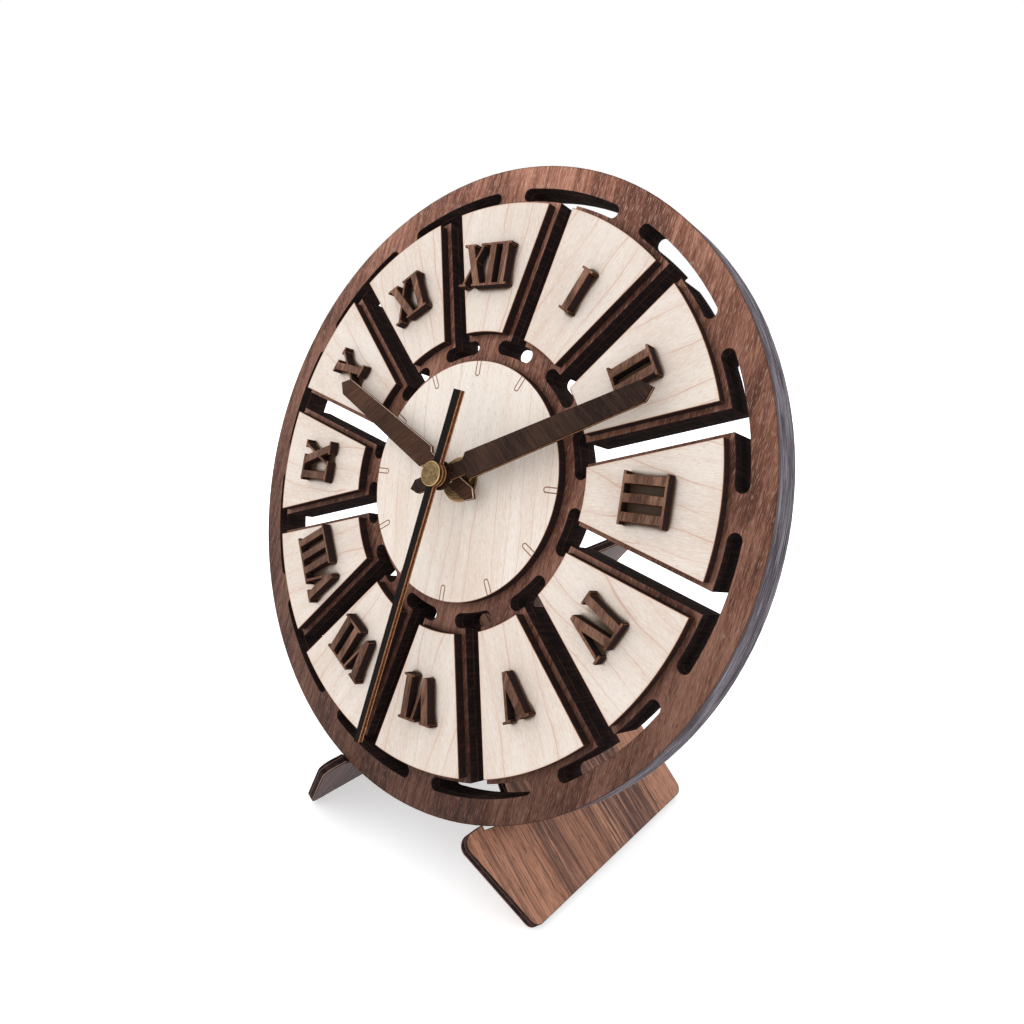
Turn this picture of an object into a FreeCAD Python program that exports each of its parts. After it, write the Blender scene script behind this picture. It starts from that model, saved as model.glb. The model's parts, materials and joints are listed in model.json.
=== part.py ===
import FreeCAD, Part
import math
import os

# Table clock: a slotted round walnut body with maple tiles and Roman numerals,
# three flat hands on a battery movement, standing on two crossed boards.
# Millimetres. The face looks along -Y, up is +Z, the floor is Z = 0.

# body of the clock
body_radius = 125.0
front_layer = 4.0
middle_layer = 6.0
back_layer = 4.0
lean_deg = 17.9
dial_turn_deg = 2.5
dial_height = 144.8

# openings between the hours, alike in all three layers
hour_count = 12
spoke_half_width = 3.8
rim_width = 9.0
outer_bar_width = 5.0
outer_bridge_deg = 4.34
inner_bar_inner_radius = 50.4
inner_bar_width = 5.5
inner_bridge_deg = 8.4

# maple tiles and centre disc
tile_thickness = 4.0
tile_ledge = 2.0
dial_gap = 3.9
mark_length = 6.1
mark_width = 2.2
mark_line = 0.3
mark_depth = 0.15

# numerals
numeral_thickness = 4.0
numeral_height = 16.9
stem_width = 3.0
serif_thickness = 0.9
serif_overhang = 1.2
thin_stroke = 1.1
letter_gap = 3.2
five_half_width = 4.7
five_thick_stroke = 3.3
five_apex_half_width = 0.9
ten_half_width = 4.9
ten_thick_stroke = 3.4

# stand boards
board_thickness = 4.0
board_lean_deg = 41.8
board_half_spacing = 61.4
board_reach = 34.1
board_foot_length = 99.6
board_length = 154.6
toe_height = 38.4
toe_slope_deg = 14.5
board_corner = 4.0
lip_corner = 0.8
rest_clearance = 0.05
notch_clearance = 0.3
lap_clearance = 0.1

# fixing of the movement
bush_radius = 4.0
bush_end = 3.4
bush_hole_clearance = 0.2
washer_radius = 8.7
washer_thickness = 0.6
nut_across_flats = 14.0
nut_thickness = 2.2
nut_chamfer = 0.9
thread_clearance = 0.02
gasket_radius = 9.0
gasket_thickness = 0.5

# hands, from the dial face outwards
hour_hand_bottom = 4.6
hand_thickness = 2.0
hour_hand_reach = 79.6
hour_hand_tail = 15.2
hour_hand_neck_end = 14.2
hour_hand_root_half_width = 4.65
hour_hand_tip_half_width = 3.6
minute_hand_bottom = 8.4
minute_hand_reach = 92.1
minute_hand_tail = 16.4
minute_hand_neck_end = 11.0
minute_hand_root_half_width = 5.1
minute_hand_tip_half_width = 3.7
neck_half_width = 2.75
shoulder_length = 1.8
hand_point_length = 4.0
tail_point_length = 3.0
collar_radius = 5.5
collar_thickness = 1.5
second_hand_bottom = 12.4
second_hand_thickness = 2.4
second_hand_reach = 103.7
second_hand_tail = 32.3
second_hand_tail_half_width = 1.8
second_hand_tip_half_width = 1.15
second_hand_hub_radius = 4.6
cap_radius = 4.7
cap_thickness = 1.4
cap_rim = 0.7
cap_recess = 0.15
cap_edge = 0.25
cap_socket = 0.8
hour_hand_clock_deg = 296.1
minute_hand_clock_deg = 67.2
second_hand_clock_deg = 189.6

# tubes and arbor on the centre line
running_clearance = 0.05
hour_tube_radius = 2.55
hour_tube_bore = 2.0
minute_tube_bore = 0.8
arbor_radius = 0.75

# movement case
case_depth = 17.0
case_wall = 1.2
case_corner = 2.0
pocket_clearance = 0.5
battery_radius = 7.1
battery_length = 49.0
battery_cap_radius = 2.75
battery_cap_length = 1.5
battery_clearance = 0.25
contact_room = 1.6
spring_room = 1.5
partition_thickness = 1.0
boss_wall = 1.2
boss_height = 1.5
socket_wall = 1.0
post_end = 0.3

# wheels of the movement: teeth, modules, layers and directions
clutch_wheel_teeth = 64
third_pinion_teeth = 8
third_wheel_teeth = 60
seconds_pinion_teeth = 8
seconds_wheel_teeth = 40
intermediate_pinion_teeth = 8
intermediate_wheel_teeth = 36
rotor_pinion_teeth = 6
minute_pinion_teeth = 10
motion_wheel_teeth = 30
motion_pinion_teeth = 8
hour_wheel_teeth = 32
knob_pinion_teeth = 10
third_module = 11.0 / 36.0
second_pinion_module = 11.0 / 34.0
seconds_module = 0.4
rotor_module = 0.3
motion_module = 0.45
mesh_clearance = 0.06
tooth_depth = 1.15
tooth_height = 0.8
tooth_root_share = 0.3
tooth_pitch_share = 0.19
tooth_tip_share = 0.08
wheel_thickness = 0.8
hour_wheel_thickness = 1.0
minute_pinion_length = 1.2
pinion_reach = 0.2
motion_pinion_reach = 0.1
hour_wheel_gap = 0.7
motion_wheel_drop = 0.2
third_wheel_gap = 0.7
seconds_wheel_gap = 0.6
magnet_gap = 0.6
layer_gap = 0.4
clutch_flange = 0.4
clutch_flange_radius = 3.6
third_direction_deg = 150.0
intermediate_direction_deg = 60.0
rotor_direction_deg = 0.0
motion_direction_deg = -15.0
knob_direction_deg = 20.0
post_radius = 0.5
rotor_post_radius = 0.3
knob_radius = 4.5
knob_thickness = 2.4
knob_gap = 0.5
knob_shaft_radius = 1.5
knob_pivot_radius = 1.0
knob_grooves = 16
knob_groove_radius = 0.5

# electrical pieces of the movement
magnet_radius = 3.0
magnet_thickness = 2.5
stator_gap = 0.3
stator_wall = 1.2
stator_edge = 1.0
stator_thickness = 1.0
stator_side_gap = 0.6
coil_radius = 2.7
coil_gap = 1.0
coil_flange = 0.8
coil_step = 0.2
sleeve_wall = 0.7
core_width = 2.4
board_sheet = 0.8
board_gap = 0.4
board_side_gap = 0.8
board_foot = 1.2
board_lug_radius = 1.6
board_lug_inset = 2.4
crystal_radius = 1.0
crystal_length = 6.0
crystal_inset = 6.0
crystal_rise = 4.0
contact_thickness = 0.4
contact_inset = 1.5
stay_half_width = 1.5
stay_height = 1.0
spring_base_radius = 4.0
spring_tip_radius = 2.6

# sizes that follow from the ones above, dial face at zero
outer_bar_inner_radius = body_radius - rim_width - outer_bar_width
body_front = -tile_thickness
body_back = body_front - front_layer - middle_layer - back_layer
front_layer_back = body_front - front_layer
middle_layer_back = front_layer_back - middle_layer
case_front = front_layer_back - gasket_thickness
case_back = case_front - case_depth
case_inside_front = case_front - case_wall
case_inside_back = case_back + case_wall
case_inside = (battery_length + battery_cap_length + contact_room + spring_room) / 2
case_size = 2 * (case_inside + case_wall)
pocket_size = case_size + 2 * pocket_clearance
bush_hole = bush_radius + bush_hole_clearance
dial_radius = inner_bar_inner_radius - dial_gap
pad_inner_radius = inner_bar_inner_radius + inner_bar_width
tile_inner_radius = pad_inner_radius + tile_ledge
tile_outer_radius = outer_bar_inner_radius - tile_ledge
numeral_radius = (tile_inner_radius + tile_outer_radius) / 2
tile_side_offset = spoke_half_width + tile_ledge
hour_step = 360.0 / hour_count
numeral_half_height = numeral_height / 2
minute_tube_radius = hour_tube_bore - running_clearance

# lean of the body and of the boards
lean = math.radians(lean_deg)
board_lean = math.radians(board_lean_deg)

up = FreeCAD.Vector(0, 0, 1)
origin = FreeCAD.Vector(0, 0, 0)


def point(x, y, z=0.0):
    return FreeCAD.Vector(x, y, z)


def cylinder(radius, low, high, x=0.0, y=0.0):
    return Part.makeCylinder(radius, high - low, point(x, y, low))


def tube(radius, bore, low, high, x=0.0, y=0.0):
    return cylinder(radius, low, high, x, y).cut(cylinder(bore, low, high, x, y))


def box(x0, x1, y0, y1, z0, z1):
    return Part.makeBox(x1 - x0, y1 - y0, z1 - z0, point(x0, y0, z0))


def polygon(points):
    corners = [point(x, y) for x, y in points]
    return Part.Face(Part.makePolygon(corners + [corners[0]]))


def raised(face, low, high):
    solid = face.extrude(point(0, 0, high - low))
    solid.translate(point(0, 0, low))
    return solid


def polar(radius, degrees):
    angle = math.radians(degrees)
    return point(radius * math.cos(angle), radius * math.sin(angle))


def arc(radius, start, end):
    middle = (start + end) / 2
    return Part.Arc(polar(radius, start), polar(radius, middle), polar(radius, end)).toShape()


def clockwise(shape, degrees):
    turned = shape.copy()
    turned.rotate(origin, up, -degrees)
    return turned


def rounded_outline(corners):
    # each corner is x, y and the radius of its rounding
    edges = []
    starts = []
    ends = []
    count = len(corners)
    for index in range(count):
        x, y, radius = corners[index]
        here = point(x, y)
        before = point(*corners[index - 1][:2]).sub(here).normalize()
        after = point(*corners[(index + 1) % count][:2]).sub(here).normalize()
        if radius <= 0:
            starts.append(here)
            ends.append(here)
            continue
        half = before.getAngle(after) / 2
        back_off = radius / math.tan(half)
        inward = before.add(after).normalize()
        centre = here.add(inward * (radius / math.sin(half)))
        first = here.add(before * back_off)
        last = here.add(after * back_off)
        edges.append((index, Part.Arc(first, centre.sub(inward * radius), last).toShape()))
        starts.append(first)
        ends.append(last)
    rounds = dict(edges)
    path = []
    for index in range(count):
        if index in rounds:
            path.append(rounds[index])
        path.append(Part.makeLine(ends[index], starts[(index + 1) % count]))
    return Part.Face(Part.Wire(path))


# openings between the hours

def ring_bar(inner_radius, width, half_angle):
    # a curved bar with round ends, lying across the upward direction
    outer_radius = inner_radius + width
    middle = inner_radius + width / 2
    low = 90 - half_angle
    high = 90 + half_angle
    reach = math.degrees(width / 2 / middle)
    outer = arc(outer_radius, low, high)
    inner = arc(inner_radius, low, high)
    left = Part.Arc(polar(outer_radius, high), polar(middle, high + reach), polar(inner_radius, high)).toShape()
    right = Part.Arc(polar(outer_radius, low), polar(middle, low - reach), polar(inner_radius, low)).toShape()
    return Part.Face(Part.Wire(Part.__sortEdges__([outer, left, inner, right])))


def opening(low, high):
    outer_half_angle = hour_step / 2 - outer_bridge_deg
    inner_half_angle = hour_step / 2 - inner_bridge_deg
    outer = raised(ring_bar(outer_bar_inner_radius, outer_bar_width, outer_half_angle), low, high)
    inner = raised(ring_bar(inner_bar_inner_radius, inner_bar_width, inner_half_angle), low, high)
    spoke_start = inner_bar_inner_radius + inner_bar_width / 2
    spoke_end = outer_bar_inner_radius + outer_bar_width / 2
    spoke = box(-spoke_half_width, spoke_half_width, spoke_start, spoke_end, low, high)
    return spoke.fuse([outer, inner]).removeSplitter()


def slotted_layer(low, high):
    layer = cylinder(body_radius, low, high)
    cutter = opening(low, high)
    cutters = [clockwise(cutter, hour_step * (hour + 0.5)) for hour in range(hour_count)]
    return layer.cut(cutters)


def pocketed_layer(low, high):
    half = pocket_size / 2
    pocket = rounded_outline([(-half, -half, case_corner), (half, -half, case_corner),
                              (half, half, case_corner), (-half, half, case_corner)])
    return slotted_layer(low, high).cut(raised(pocket, low, high))


# maple tiles and centre disc

def tile():
    # between two lines parallel to the neighbouring openings
    inner_skew = math.degrees(math.asin(tile_side_offset / tile_inner_radius))
    outer_skew = math.degrees(math.asin(tile_side_offset / tile_outer_radius))
    inner_low = 90 - hour_step / 2 + inner_skew
    inner_high = 90 + hour_step / 2 - inner_skew
    outer_low = 90 - hour_step / 2 + outer_skew
    outer_high = 90 + hour_step / 2 - outer_skew
    outer = arc(tile_outer_radius, outer_low, outer_high)
    inner = arc(tile_inner_radius, inner_low, inner_high)
    left = Part.makeLine(polar(tile_outer_radius, outer_high), polar(tile_inner_radius, inner_high))
    right = Part.makeLine(polar(tile_inner_radius, inner_low), polar(tile_outer_radius, outer_low))
    face = Part.Face(Part.Wire(Part.__sortEdges__([outer, left, inner, right])))
    return raised(face, body_front, 0)


def mark(half_width, low, high):
    # a slot from the rim inwards with a round inner end
    centre = dial_radius - mark_length + mark_width / 2
    slot = box(-half_width, half_width, centre, dial_radius + mark_width, low, high)
    return slot.fuse(cylinder(half_width, low, high, 0, centre)).removeSplitter()


def centre_disc():
    disc = cylinder(dial_radius, body_front, 0)
    groove = mark(mark_width / 2, -mark_depth, 0)
    island = mark(mark_width / 2 - mark_line, -mark_depth, 0)
    line = groove.cut(island)
    disc = disc.cut([clockwise(line, hour_step * hour) for hour in range(hour_count)])
    return disc.cut(cylinder(bush_hole, body_front, 0))


# numerals, each letter is its half width and its flat pieces

def serif(left, right, top):
    edge = numeral_half_height if top else -numeral_half_height
    inner = edge - serif_thickness if top else edge + serif_thickness
    low = left - serif_overhang
    high = right + serif_overhang
    return [(low, edge), (high, edge), (high, inner), (low, inner)]


def letter_one():
    half = stem_width / 2
    stem = [(-half, -numeral_half_height), (half, -numeral_half_height),
            (half, numeral_half_height), (-half, numeral_half_height)]
    return [stem, serif(-half, half, True), serif(-half, half, False)]


def letter_five():
    top = numeral_half_height
    width = five_half_width
    apex = five_apex_half_width
    left_inner = -width + five_thick_stroke
    right_inner = width - thin_stroke
    fall = (right_inner - left_inner) / (2 * (width - apex))
    fork = (left_inner + fall * (width - apex), top - fall * numeral_height)
    strokes = [(-width, top), (left_inner, top), fork, (right_inner, top),
               (width, top), (apex, -top), (-apex, -top)]
    return [strokes, serif(-width, left_inner, True), serif(right_inner, width, True)]


def letter_ten():
    top = numeral_half_height
    width = ten_half_width
    inner = width - ten_thick_stroke
    thick = [(-width, top), (-inner, top), (width, -top), (inner, -top)]
    thin = [(width, top), (width - thin_stroke, top), (-width, -top), (thin_stroke - width, -top)]
    serifs = [serif(-width, -inner, True), serif(width - thin_stroke, width, True),
              serif(-width, thin_stroke - width, False), serif(inner, width, False)]
    return [thick, thin] + serifs


letters = {
    "I": (stem_width / 2, letter_one),
    "V": (five_half_width, letter_five),
    "X": (ten_half_width, letter_ten),
}

# five and ten stand closer to their neighbours than two stems do
letter_tuck = {"I": 0.0, "V": 1.0, "X": 0.5}

# from one o'clock on, and how far each is glued clockwise of its tile's centre line
spellings = ["I", "II", "III", "IV", "V", "VI", "VII", "VIII", "IX", "X", "XI", "XII"]
glued_off = [2.4, -0.3, -0.3, 1.3, -1.0, 0.3, -1.0, -1.2, 0.7, 0.2, -1.0, -1.6]


def numeral(spelling, shift):
    places = []
    edge = 0.0
    for index, letter in enumerate(spelling):
        half = letters[letter][0]
        if index > 0:
            edge += letter_gap - letter_tuck[letter] - letter_tuck[spelling[index - 1]]
        places.append(edge + half)
        edge += 2 * half
    pieces = []
    # the serifs of neighbours are joined, but a five has none at its foot
    for index in range(1, len(spelling)):
        pair = spelling[index - 1:index + 1]
        start = places[index - 1] + letters[pair[0]][0] - edge / 2 + shift
        end = places[index] - letters[pair[1]][0] - edge / 2 + shift
        high = numeral_radius + numeral_half_height
        pieces.append(box(start, end, high - serif_thickness, high, 0, numeral_thickness))
        if "V" not in pair:
            low = numeral_radius - numeral_half_height
            pieces.append(box(start, end, low, low + serif_thickness, 0, numeral_thickness))
    for letter, place in zip(spelling, places):
        offset = place - edge / 2 + shift
        for outline in letters[letter][1]():
            moved = [(x + offset, y + numeral_radius) for x, y in outline]
            pieces.append(raised(polygon(moved), 0, numeral_thickness))
    return pieces[0].fuse(pieces[1:]).removeSplitter()


# stand boards, drawn flat: x runs back along the floor and y up along the board

def board(slot_from_front):
    sin_lean = math.sin(lean)
    cos_lean = math.cos(lean)
    sin_board = math.sin(board_lean)
    cos_board = math.cos(board_lean)
    slant = math.sqrt(1 - (sin_board * sin_lean) ** 2)
    # unit steps in the board: along the body's thickness, and up along its back
    through = (cos_lean / slant, -cos_board * sin_lean / slant)
    rise = (cos_board * sin_lean / slant, cos_lean / slant)
    # where the board's outer corner lies, seen from the dial centre
    corner_x = board_half_spacing + board_thickness * cos_board
    corner_up = board_thickness * sin_board - dial_height
    corner_y = corner_up * cos_lean - board_reach * sin_lean
    corner_z = board_reach * cos_lean + corner_up * sin_lean
    # step from that corner onto the body's back face
    onto_back = (corner_z - body_back) / slant
    start_x = corner_x - onto_back * through[1] * sin_board
    start_y = corner_y + onto_back * (through[0] * sin_lean + through[1] * cos_board * cos_lean)
    rise_x = -rise[1] * sin_board
    rise_y = rise[0] * sin_lean + rise[1] * cos_board * cos_lean
    half_sum = start_x * rise_x + start_y * rise_y
    rest_radius = body_radius + rest_clearance
    along = -half_sum - math.sqrt(half_sum ** 2 - start_x ** 2 - start_y ** 2 + rest_radius ** 2)
    rest = (onto_back * through[0] + along * rise[0], onto_back * through[1] + along * rise[1])
    # notch for the rim: lip in front, floor below, long edge behind
    to_lip = (body_front - body_back + notch_clearance) / slant
    to_edge = rest_clearance / slant
    notch = (rest[0] - to_lip * through[0], rest[1] - to_lip * through[1])
    behind = (rest[0] + to_edge * through[0], rest[1] + to_edge * through[1])
    lip_rise = (toe_height - notch[1]) / rise[1]
    lip = (notch[0] + lip_rise * rise[0], toe_height)
    top_rise = (board_length - behind[1]) / rise[1]
    top_front = behind[0] + top_rise * rise[0]
    toe_front = -toe_height * math.tan(math.radians(toe_slope_deg))
    outline = rounded_outline([
        (0, 0, board_corner), (board_foot_length, 0, board_corner),
        (board_foot_length, board_length, board_corner), (top_front, board_length, board_corner),
        (behind[0], behind[1], 0), (notch[0], notch[1], 0), (lip[0], lip[1], lip_corner),
        (toe_front, toe_height, board_corner)])
    flat = raised(outline, 0, board_thickness)
    # half lap where the two boards cross
    cross = (board_half_spacing + board_thickness / 2 * cos_board) / sin_board
    cross_front = behind[0] + (cross - behind[1]) / rise[1] * rise[0]
    cross_middle = (cross_front + board_foot_length) / 2
    double = 2 * board_lean
    lap_half = board_thickness / 2 * (1 + abs(math.cos(double))) / math.sin(double) + lap_clearance
    if slot_from_front:
        lap = box(-board_foot_length, cross_middle + lap_clearance, cross - lap_half, cross + lap_half,
                  0, board_thickness)
    else:
        lap = box(cross_middle - lap_clearance, 2 * board_foot_length, cross - lap_half, cross + lap_half,
                  0, board_thickness)
    flat = flat.cut(lap)
    # stand it up: flat x to the back, flat y up and inwards
    turn = FreeCAD.Rotation(point(0, 1, 0), point(-sin_board, 0, cos_board), point(cos_board, 0, sin_board))
    flat.Placement = FreeCAD.Placement(point(board_half_spacing, -board_reach, 0), turn)
    return flat


# hands, drawn pointing up

def pointed_hand(reach, tail, neck_end, root_half, tip_half, bottom, bore):
    neck = neck_half_width
    side = [
        (neck, -tail + tail_point_length), (neck, neck_end), (root_half, neck_end + shoulder_length),
        (tip_half, reach - hand_point_length)]
    other = [(-x, y) for x, y in reversed(side)]
    outline = [(0, -tail)] + side + [(0, reach)] + other
    blade = raised(polygon(outline), bottom, bottom + hand_thickness)
    return blade.cut(cylinder(bore, bottom, bottom + hand_thickness))


def second_hand():
    top = second_hand_bottom + second_hand_thickness
    outline = [(second_hand_tail_half_width, -second_hand_tail), (second_hand_tip_half_width, second_hand_reach),
               (-second_hand_tip_half_width, second_hand_reach), (-second_hand_tail_half_width, -second_hand_tail)]
    blade = raised(polygon(outline), second_hand_bottom, top)
    hub = cylinder(second_hand_hub_radius, second_hand_bottom, top)
    return blade.fuse(hub).removeSplitter().cut(cylinder(arbor_radius, second_hand_bottom, top))


def hand_cap():
    low = second_hand_bottom + second_hand_thickness
    high = low + cap_thickness
    cap = cylinder(cap_radius, low, high)
    rim = [edge for edge in cap.Edges if len(edge.Vertexes) == 1 and edge.BoundBox.ZMin > high - cap_edge]
    cap = cap.makeChamfer(cap_edge, rim)
    cap = cap.cut(cylinder(cap_radius - cap_rim, high - cap_recess, high))
    return cap.cut(cylinder(arbor_radius, low, low + cap_socket))


# fixings on the dial

def hexagon_nut():
    low = washer_thickness
    high = low + nut_thickness
    corner_radius = nut_across_flats / 2 / math.cos(math.radians(30))
    corners = [(corner_radius * math.cos(math.radians(60 * k + 12)),
                corner_radius * math.sin(math.radians(60 * k + 12))) for k in range(6)]
    nut = raised(polygon(corners), low, high)
    # the corners are turned down by a cone
    cone = Part.makeCone(corner_radius + nut_thickness, corner_radius - nut_chamfer, nut_thickness + nut_chamfer,
                         point(0, 0, high - nut_thickness - nut_chamfer))
    nut = nut.common(cone)
    return nut.cut(cylinder(bush_radius + thread_clearance, low, high))


# wheels

def mesh_phase(teeth, phase, next_teeth, direction):
    # phase of the next wheel, whose gap meets a tooth along the given direction
    return direction + 180 - (phase - direction) * teeth / next_teeth + 180.0 / next_teeth


def wheel(teeth, module, low, high, phase=0.0, x=0.0, y=0.0):
    pitch_radius = teeth * module / 2
    root = pitch_radius - tooth_depth * module
    tip = pitch_radius + tooth_height * module
    step = 360.0 / teeth
    flank = [(root, -tooth_root_share), (pitch_radius, -tooth_pitch_share), (tip, -tooth_tip_share)]
    profile = flank + [(radius, -share) for radius, share in reversed(flank)]
    corners = []
    for tooth in range(teeth):
        middle = phase + tooth * step
        for radius, share in profile:
            place = polar(radius, middle + share * step)
            corners.append((place.x + x, place.y + y))
    return raised(polygon(corners), low, high)


def spaced(direction, teeth, next_teeth, module, start=(0.0, 0.0)):
    place = polar((teeth + next_teeth) * module / 2 + mesh_clearance, direction)
    return start[0] + place.x, start[1] + place.y


# places of the wheels round the centre line

third_place = spaced(third_direction_deg, clutch_wheel_teeth, third_pinion_teeth, third_module)
intermediate_place = spaced(intermediate_direction_deg, seconds_wheel_teeth, intermediate_pinion_teeth, seconds_module)
rotor_place = spaced(rotor_direction_deg, intermediate_wheel_teeth, rotor_pinion_teeth, rotor_module,
                     intermediate_place)
motion_place = spaced(motion_direction_deg, minute_pinion_teeth, motion_wheel_teeth, motion_module)
knob_place = spaced(knob_direction_deg, motion_wheel_teeth, knob_pinion_teeth, motion_module, motion_place)

# layers of the wheels, counted back from the inside of the case front
hour_wheel_top = case_inside_front - hour_wheel_gap
hour_wheel_low = hour_wheel_top - hour_wheel_thickness
minute_pinion_top = hour_wheel_low - layer_gap
minute_pinion_low = minute_pinion_top - minute_pinion_length
motion_wheel_top = minute_pinion_top - motion_wheel_drop
motion_wheel_low = motion_wheel_top - wheel_thickness
clutch_wheel_top = minute_pinion_low - running_clearance
clutch_wheel_low = clutch_wheel_top - wheel_thickness
third_wheel_top = clutch_wheel_low - third_wheel_gap
third_wheel_low = third_wheel_top - wheel_thickness
seconds_wheel_top = third_wheel_low - seconds_wheel_gap
seconds_wheel_low = seconds_wheel_top - wheel_thickness
intermediate_wheel_top = seconds_wheel_low - layer_gap
intermediate_wheel_low = intermediate_wheel_top - wheel_thickness
magnet_top = intermediate_wheel_low - magnet_gap
magnet_low = magnet_top - magnet_thickness

# how far pinions and shafts run past the wheel they turn with
seconds_pinion_top = third_wheel_top + pinion_reach
third_pinion_top = clutch_wheel_top + pinion_reach
intermediate_pinion_top = seconds_wheel_top + pinion_reach
rotor_pinion_top = intermediate_wheel_top + pinion_reach
motion_pinion_top = hour_wheel_top + motion_pinion_reach
knob_pinion_top = motion_wheel_top + pinion_reach
knob_pinion_low = motion_wheel_low - pinion_reach


def hour_wheel():
    top = hour_hand_bottom + hand_thickness
    disc = wheel(hour_wheel_teeth, motion_module, hour_wheel_low, hour_wheel_top, hour_wheel_phase)
    stem = cylinder(hour_tube_radius, hour_wheel_low, top)
    return disc.fuse(stem).removeSplitter().cut(cylinder(hour_tube_bore, hour_wheel_low, top))


def minute_wheel():
    top = minute_hand_bottom + hand_thickness + collar_thickness
    pinion = wheel(minute_pinion_teeth, motion_module, minute_pinion_low, minute_pinion_top)
    flange = cylinder(clutch_flange_radius, clutch_wheel_low - clutch_flange, clutch_wheel_low - running_clearance)
    stem = cylinder(minute_tube_radius, clutch_wheel_low - clutch_flange, top)
    solid = pinion.fuse([flange, stem]).removeSplitter()
    return solid.cut(cylinder(minute_tube_bore, clutch_wheel_low - clutch_flange, top))


def clutch_wheel():
    # slips on the minute tube, between its pinion and its flange
    disc = wheel(clutch_wheel_teeth, third_module, clutch_wheel_low, clutch_wheel_top)
    return disc.cut(cylinder(minute_tube_radius + running_clearance, clutch_wheel_low, clutch_wheel_top))


def seconds_wheel():
    top = second_hand_bottom + second_hand_thickness + cap_socket
    disc = wheel(seconds_wheel_teeth, seconds_module, seconds_wheel_low, seconds_wheel_top)
    pinion = wheel(seconds_pinion_teeth, second_pinion_module, seconds_wheel_top, seconds_pinion_top)
    arbor = cylinder(arbor_radius, case_inside_back + running_clearance, top)
    return disc.fuse([pinion, arbor]).removeSplitter()


def third_wheel():
    x, y = third_place
    phase = mesh_phase(seconds_pinion_teeth, 0, third_wheel_teeth, third_direction_deg)
    pinion_phase = mesh_phase(clutch_wheel_teeth, 0, third_pinion_teeth, third_direction_deg)
    disc = wheel(third_wheel_teeth, second_pinion_module, third_wheel_low, third_wheel_top, phase, x, y)
    pinion = wheel(third_pinion_teeth, third_module, third_wheel_top, third_pinion_top, pinion_phase, x, y)
    bore = cylinder(post_radius + running_clearance, third_wheel_low, third_pinion_top, x, y)
    return disc.fuse(pinion).removeSplitter().cut(bore)


def intermediate_wheel():
    x, y = intermediate_place
    pinion_phase = mesh_phase(seconds_wheel_teeth, 0, intermediate_pinion_teeth, intermediate_direction_deg)
    disc = wheel(intermediate_wheel_teeth, rotor_module, intermediate_wheel_low, intermediate_wheel_top, 0, x, y)
    pinion = wheel(intermediate_pinion_teeth, seconds_module, intermediate_wheel_top, intermediate_pinion_top,
                   pinion_phase, x, y)
    bore = cylinder(post_radius + running_clearance, intermediate_wheel_low, intermediate_pinion_top, x, y)
    return disc.fuse(pinion).removeSplitter().cut(bore)


def rotor():
    x, y = rotor_place
    phase = mesh_phase(intermediate_wheel_teeth, 0, rotor_pinion_teeth, rotor_direction_deg)
    pinion = wheel(rotor_pinion_teeth, rotor_module, magnet_top, rotor_pinion_top, phase, x, y)
    magnet = cylinder(magnet_radius, magnet_low, magnet_top, x, y)
    bore = cylinder(rotor_post_radius + running_clearance, magnet_low, rotor_pinion_top, x, y)
    return magnet.fuse(pinion).removeSplitter().cut(bore)


motion_wheel_phase = mesh_phase(minute_pinion_teeth, 0, motion_wheel_teeth, motion_direction_deg)
hour_wheel_phase = mesh_phase(motion_pinion_teeth, 0, hour_wheel_teeth, motion_direction_deg + 180)


def motion_wheel():
    x, y = motion_place
    disc = wheel(motion_wheel_teeth, motion_module, motion_wheel_low, motion_wheel_top, motion_wheel_phase, x, y)
    pinion = wheel(motion_pinion_teeth, motion_module, motion_wheel_top, motion_pinion_top, 0, x, y)
    bore = cylinder(post_radius + running_clearance, motion_wheel_low, motion_pinion_top, x, y)
    return disc.fuse(pinion).removeSplitter().cut(bore)


def setting_knob():
    x, y = knob_place
    phase = mesh_phase(motion_wheel_teeth, motion_wheel_phase, knob_pinion_teeth, knob_direction_deg)
    knob_high = case_back - knob_gap
    pinion = wheel(knob_pinion_teeth, motion_module, knob_pinion_low, knob_pinion_top, phase, x, y)
    shaft = cylinder(knob_shaft_radius, knob_high, knob_pinion_low, x, y)
    pivot = cylinder(knob_pivot_radius, knob_pinion_top, case_inside_front - running_clearance, x, y)
    knob_low = knob_high - knob_thickness
    knob = cylinder(knob_radius, knob_low, knob_high, x, y)
    grooves = []
    for groove in range(knob_grooves):
        place = polar(knob_radius + knob_groove_radius / 2, 360.0 / knob_grooves * groove)
        grooves.append(cylinder(knob_groove_radius, knob_low, knob_high, x + place.x, y + place.y))
    knob = knob.cut(grooves)
    return knob.fuse([shaft, pinion, pivot]).removeSplitter()


# movement case, open behind: wheels above, battery below

battery_y = -case_inside + battery_clearance + battery_radius
partition_top = battery_y + battery_radius + battery_clearance + partition_thickness


def case_room(low, high):
    corner = case_corner - case_wall
    inner = rounded_outline([(-case_inside, -case_inside, corner), (case_inside, -case_inside, corner),
                             (case_inside, case_inside, corner), (-case_inside, case_inside, corner)])
    return raised(inner, low, high)


def movement_case():
    half = case_size / 2
    outer = rounded_outline([(-half, -half, case_corner), (half, -half, case_corner),
                             (half, half, case_corner), (-half, half, case_corner)])
    shell = raised(outer, case_back, case_front).cut(case_room(case_back, case_inside_front))
    partition = box(-case_inside, case_inside, partition_top - partition_thickness, partition_top,
                    case_back, case_inside_front)
    bush = cylinder(bush_radius, case_inside_front, bush_end)
    motion_post = cylinder(post_radius, motion_wheel_low - layer_gap / 2, case_inside_front, *motion_place)
    third_post = cylinder(post_radius, third_wheel_low - layer_gap / 2, case_inside_front, *third_place)
    socket = tube(knob_pivot_radius + socket_wall, knob_pivot_radius + running_clearance,
                  knob_pinion_top + layer_gap, case_inside_front, *knob_place)
    solid = shell.fuse([partition, bush, motion_post, third_post, socket]).removeSplitter()
    return solid.cut(cylinder(hour_tube_radius + running_clearance, case_inside_front, bush_end))


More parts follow.
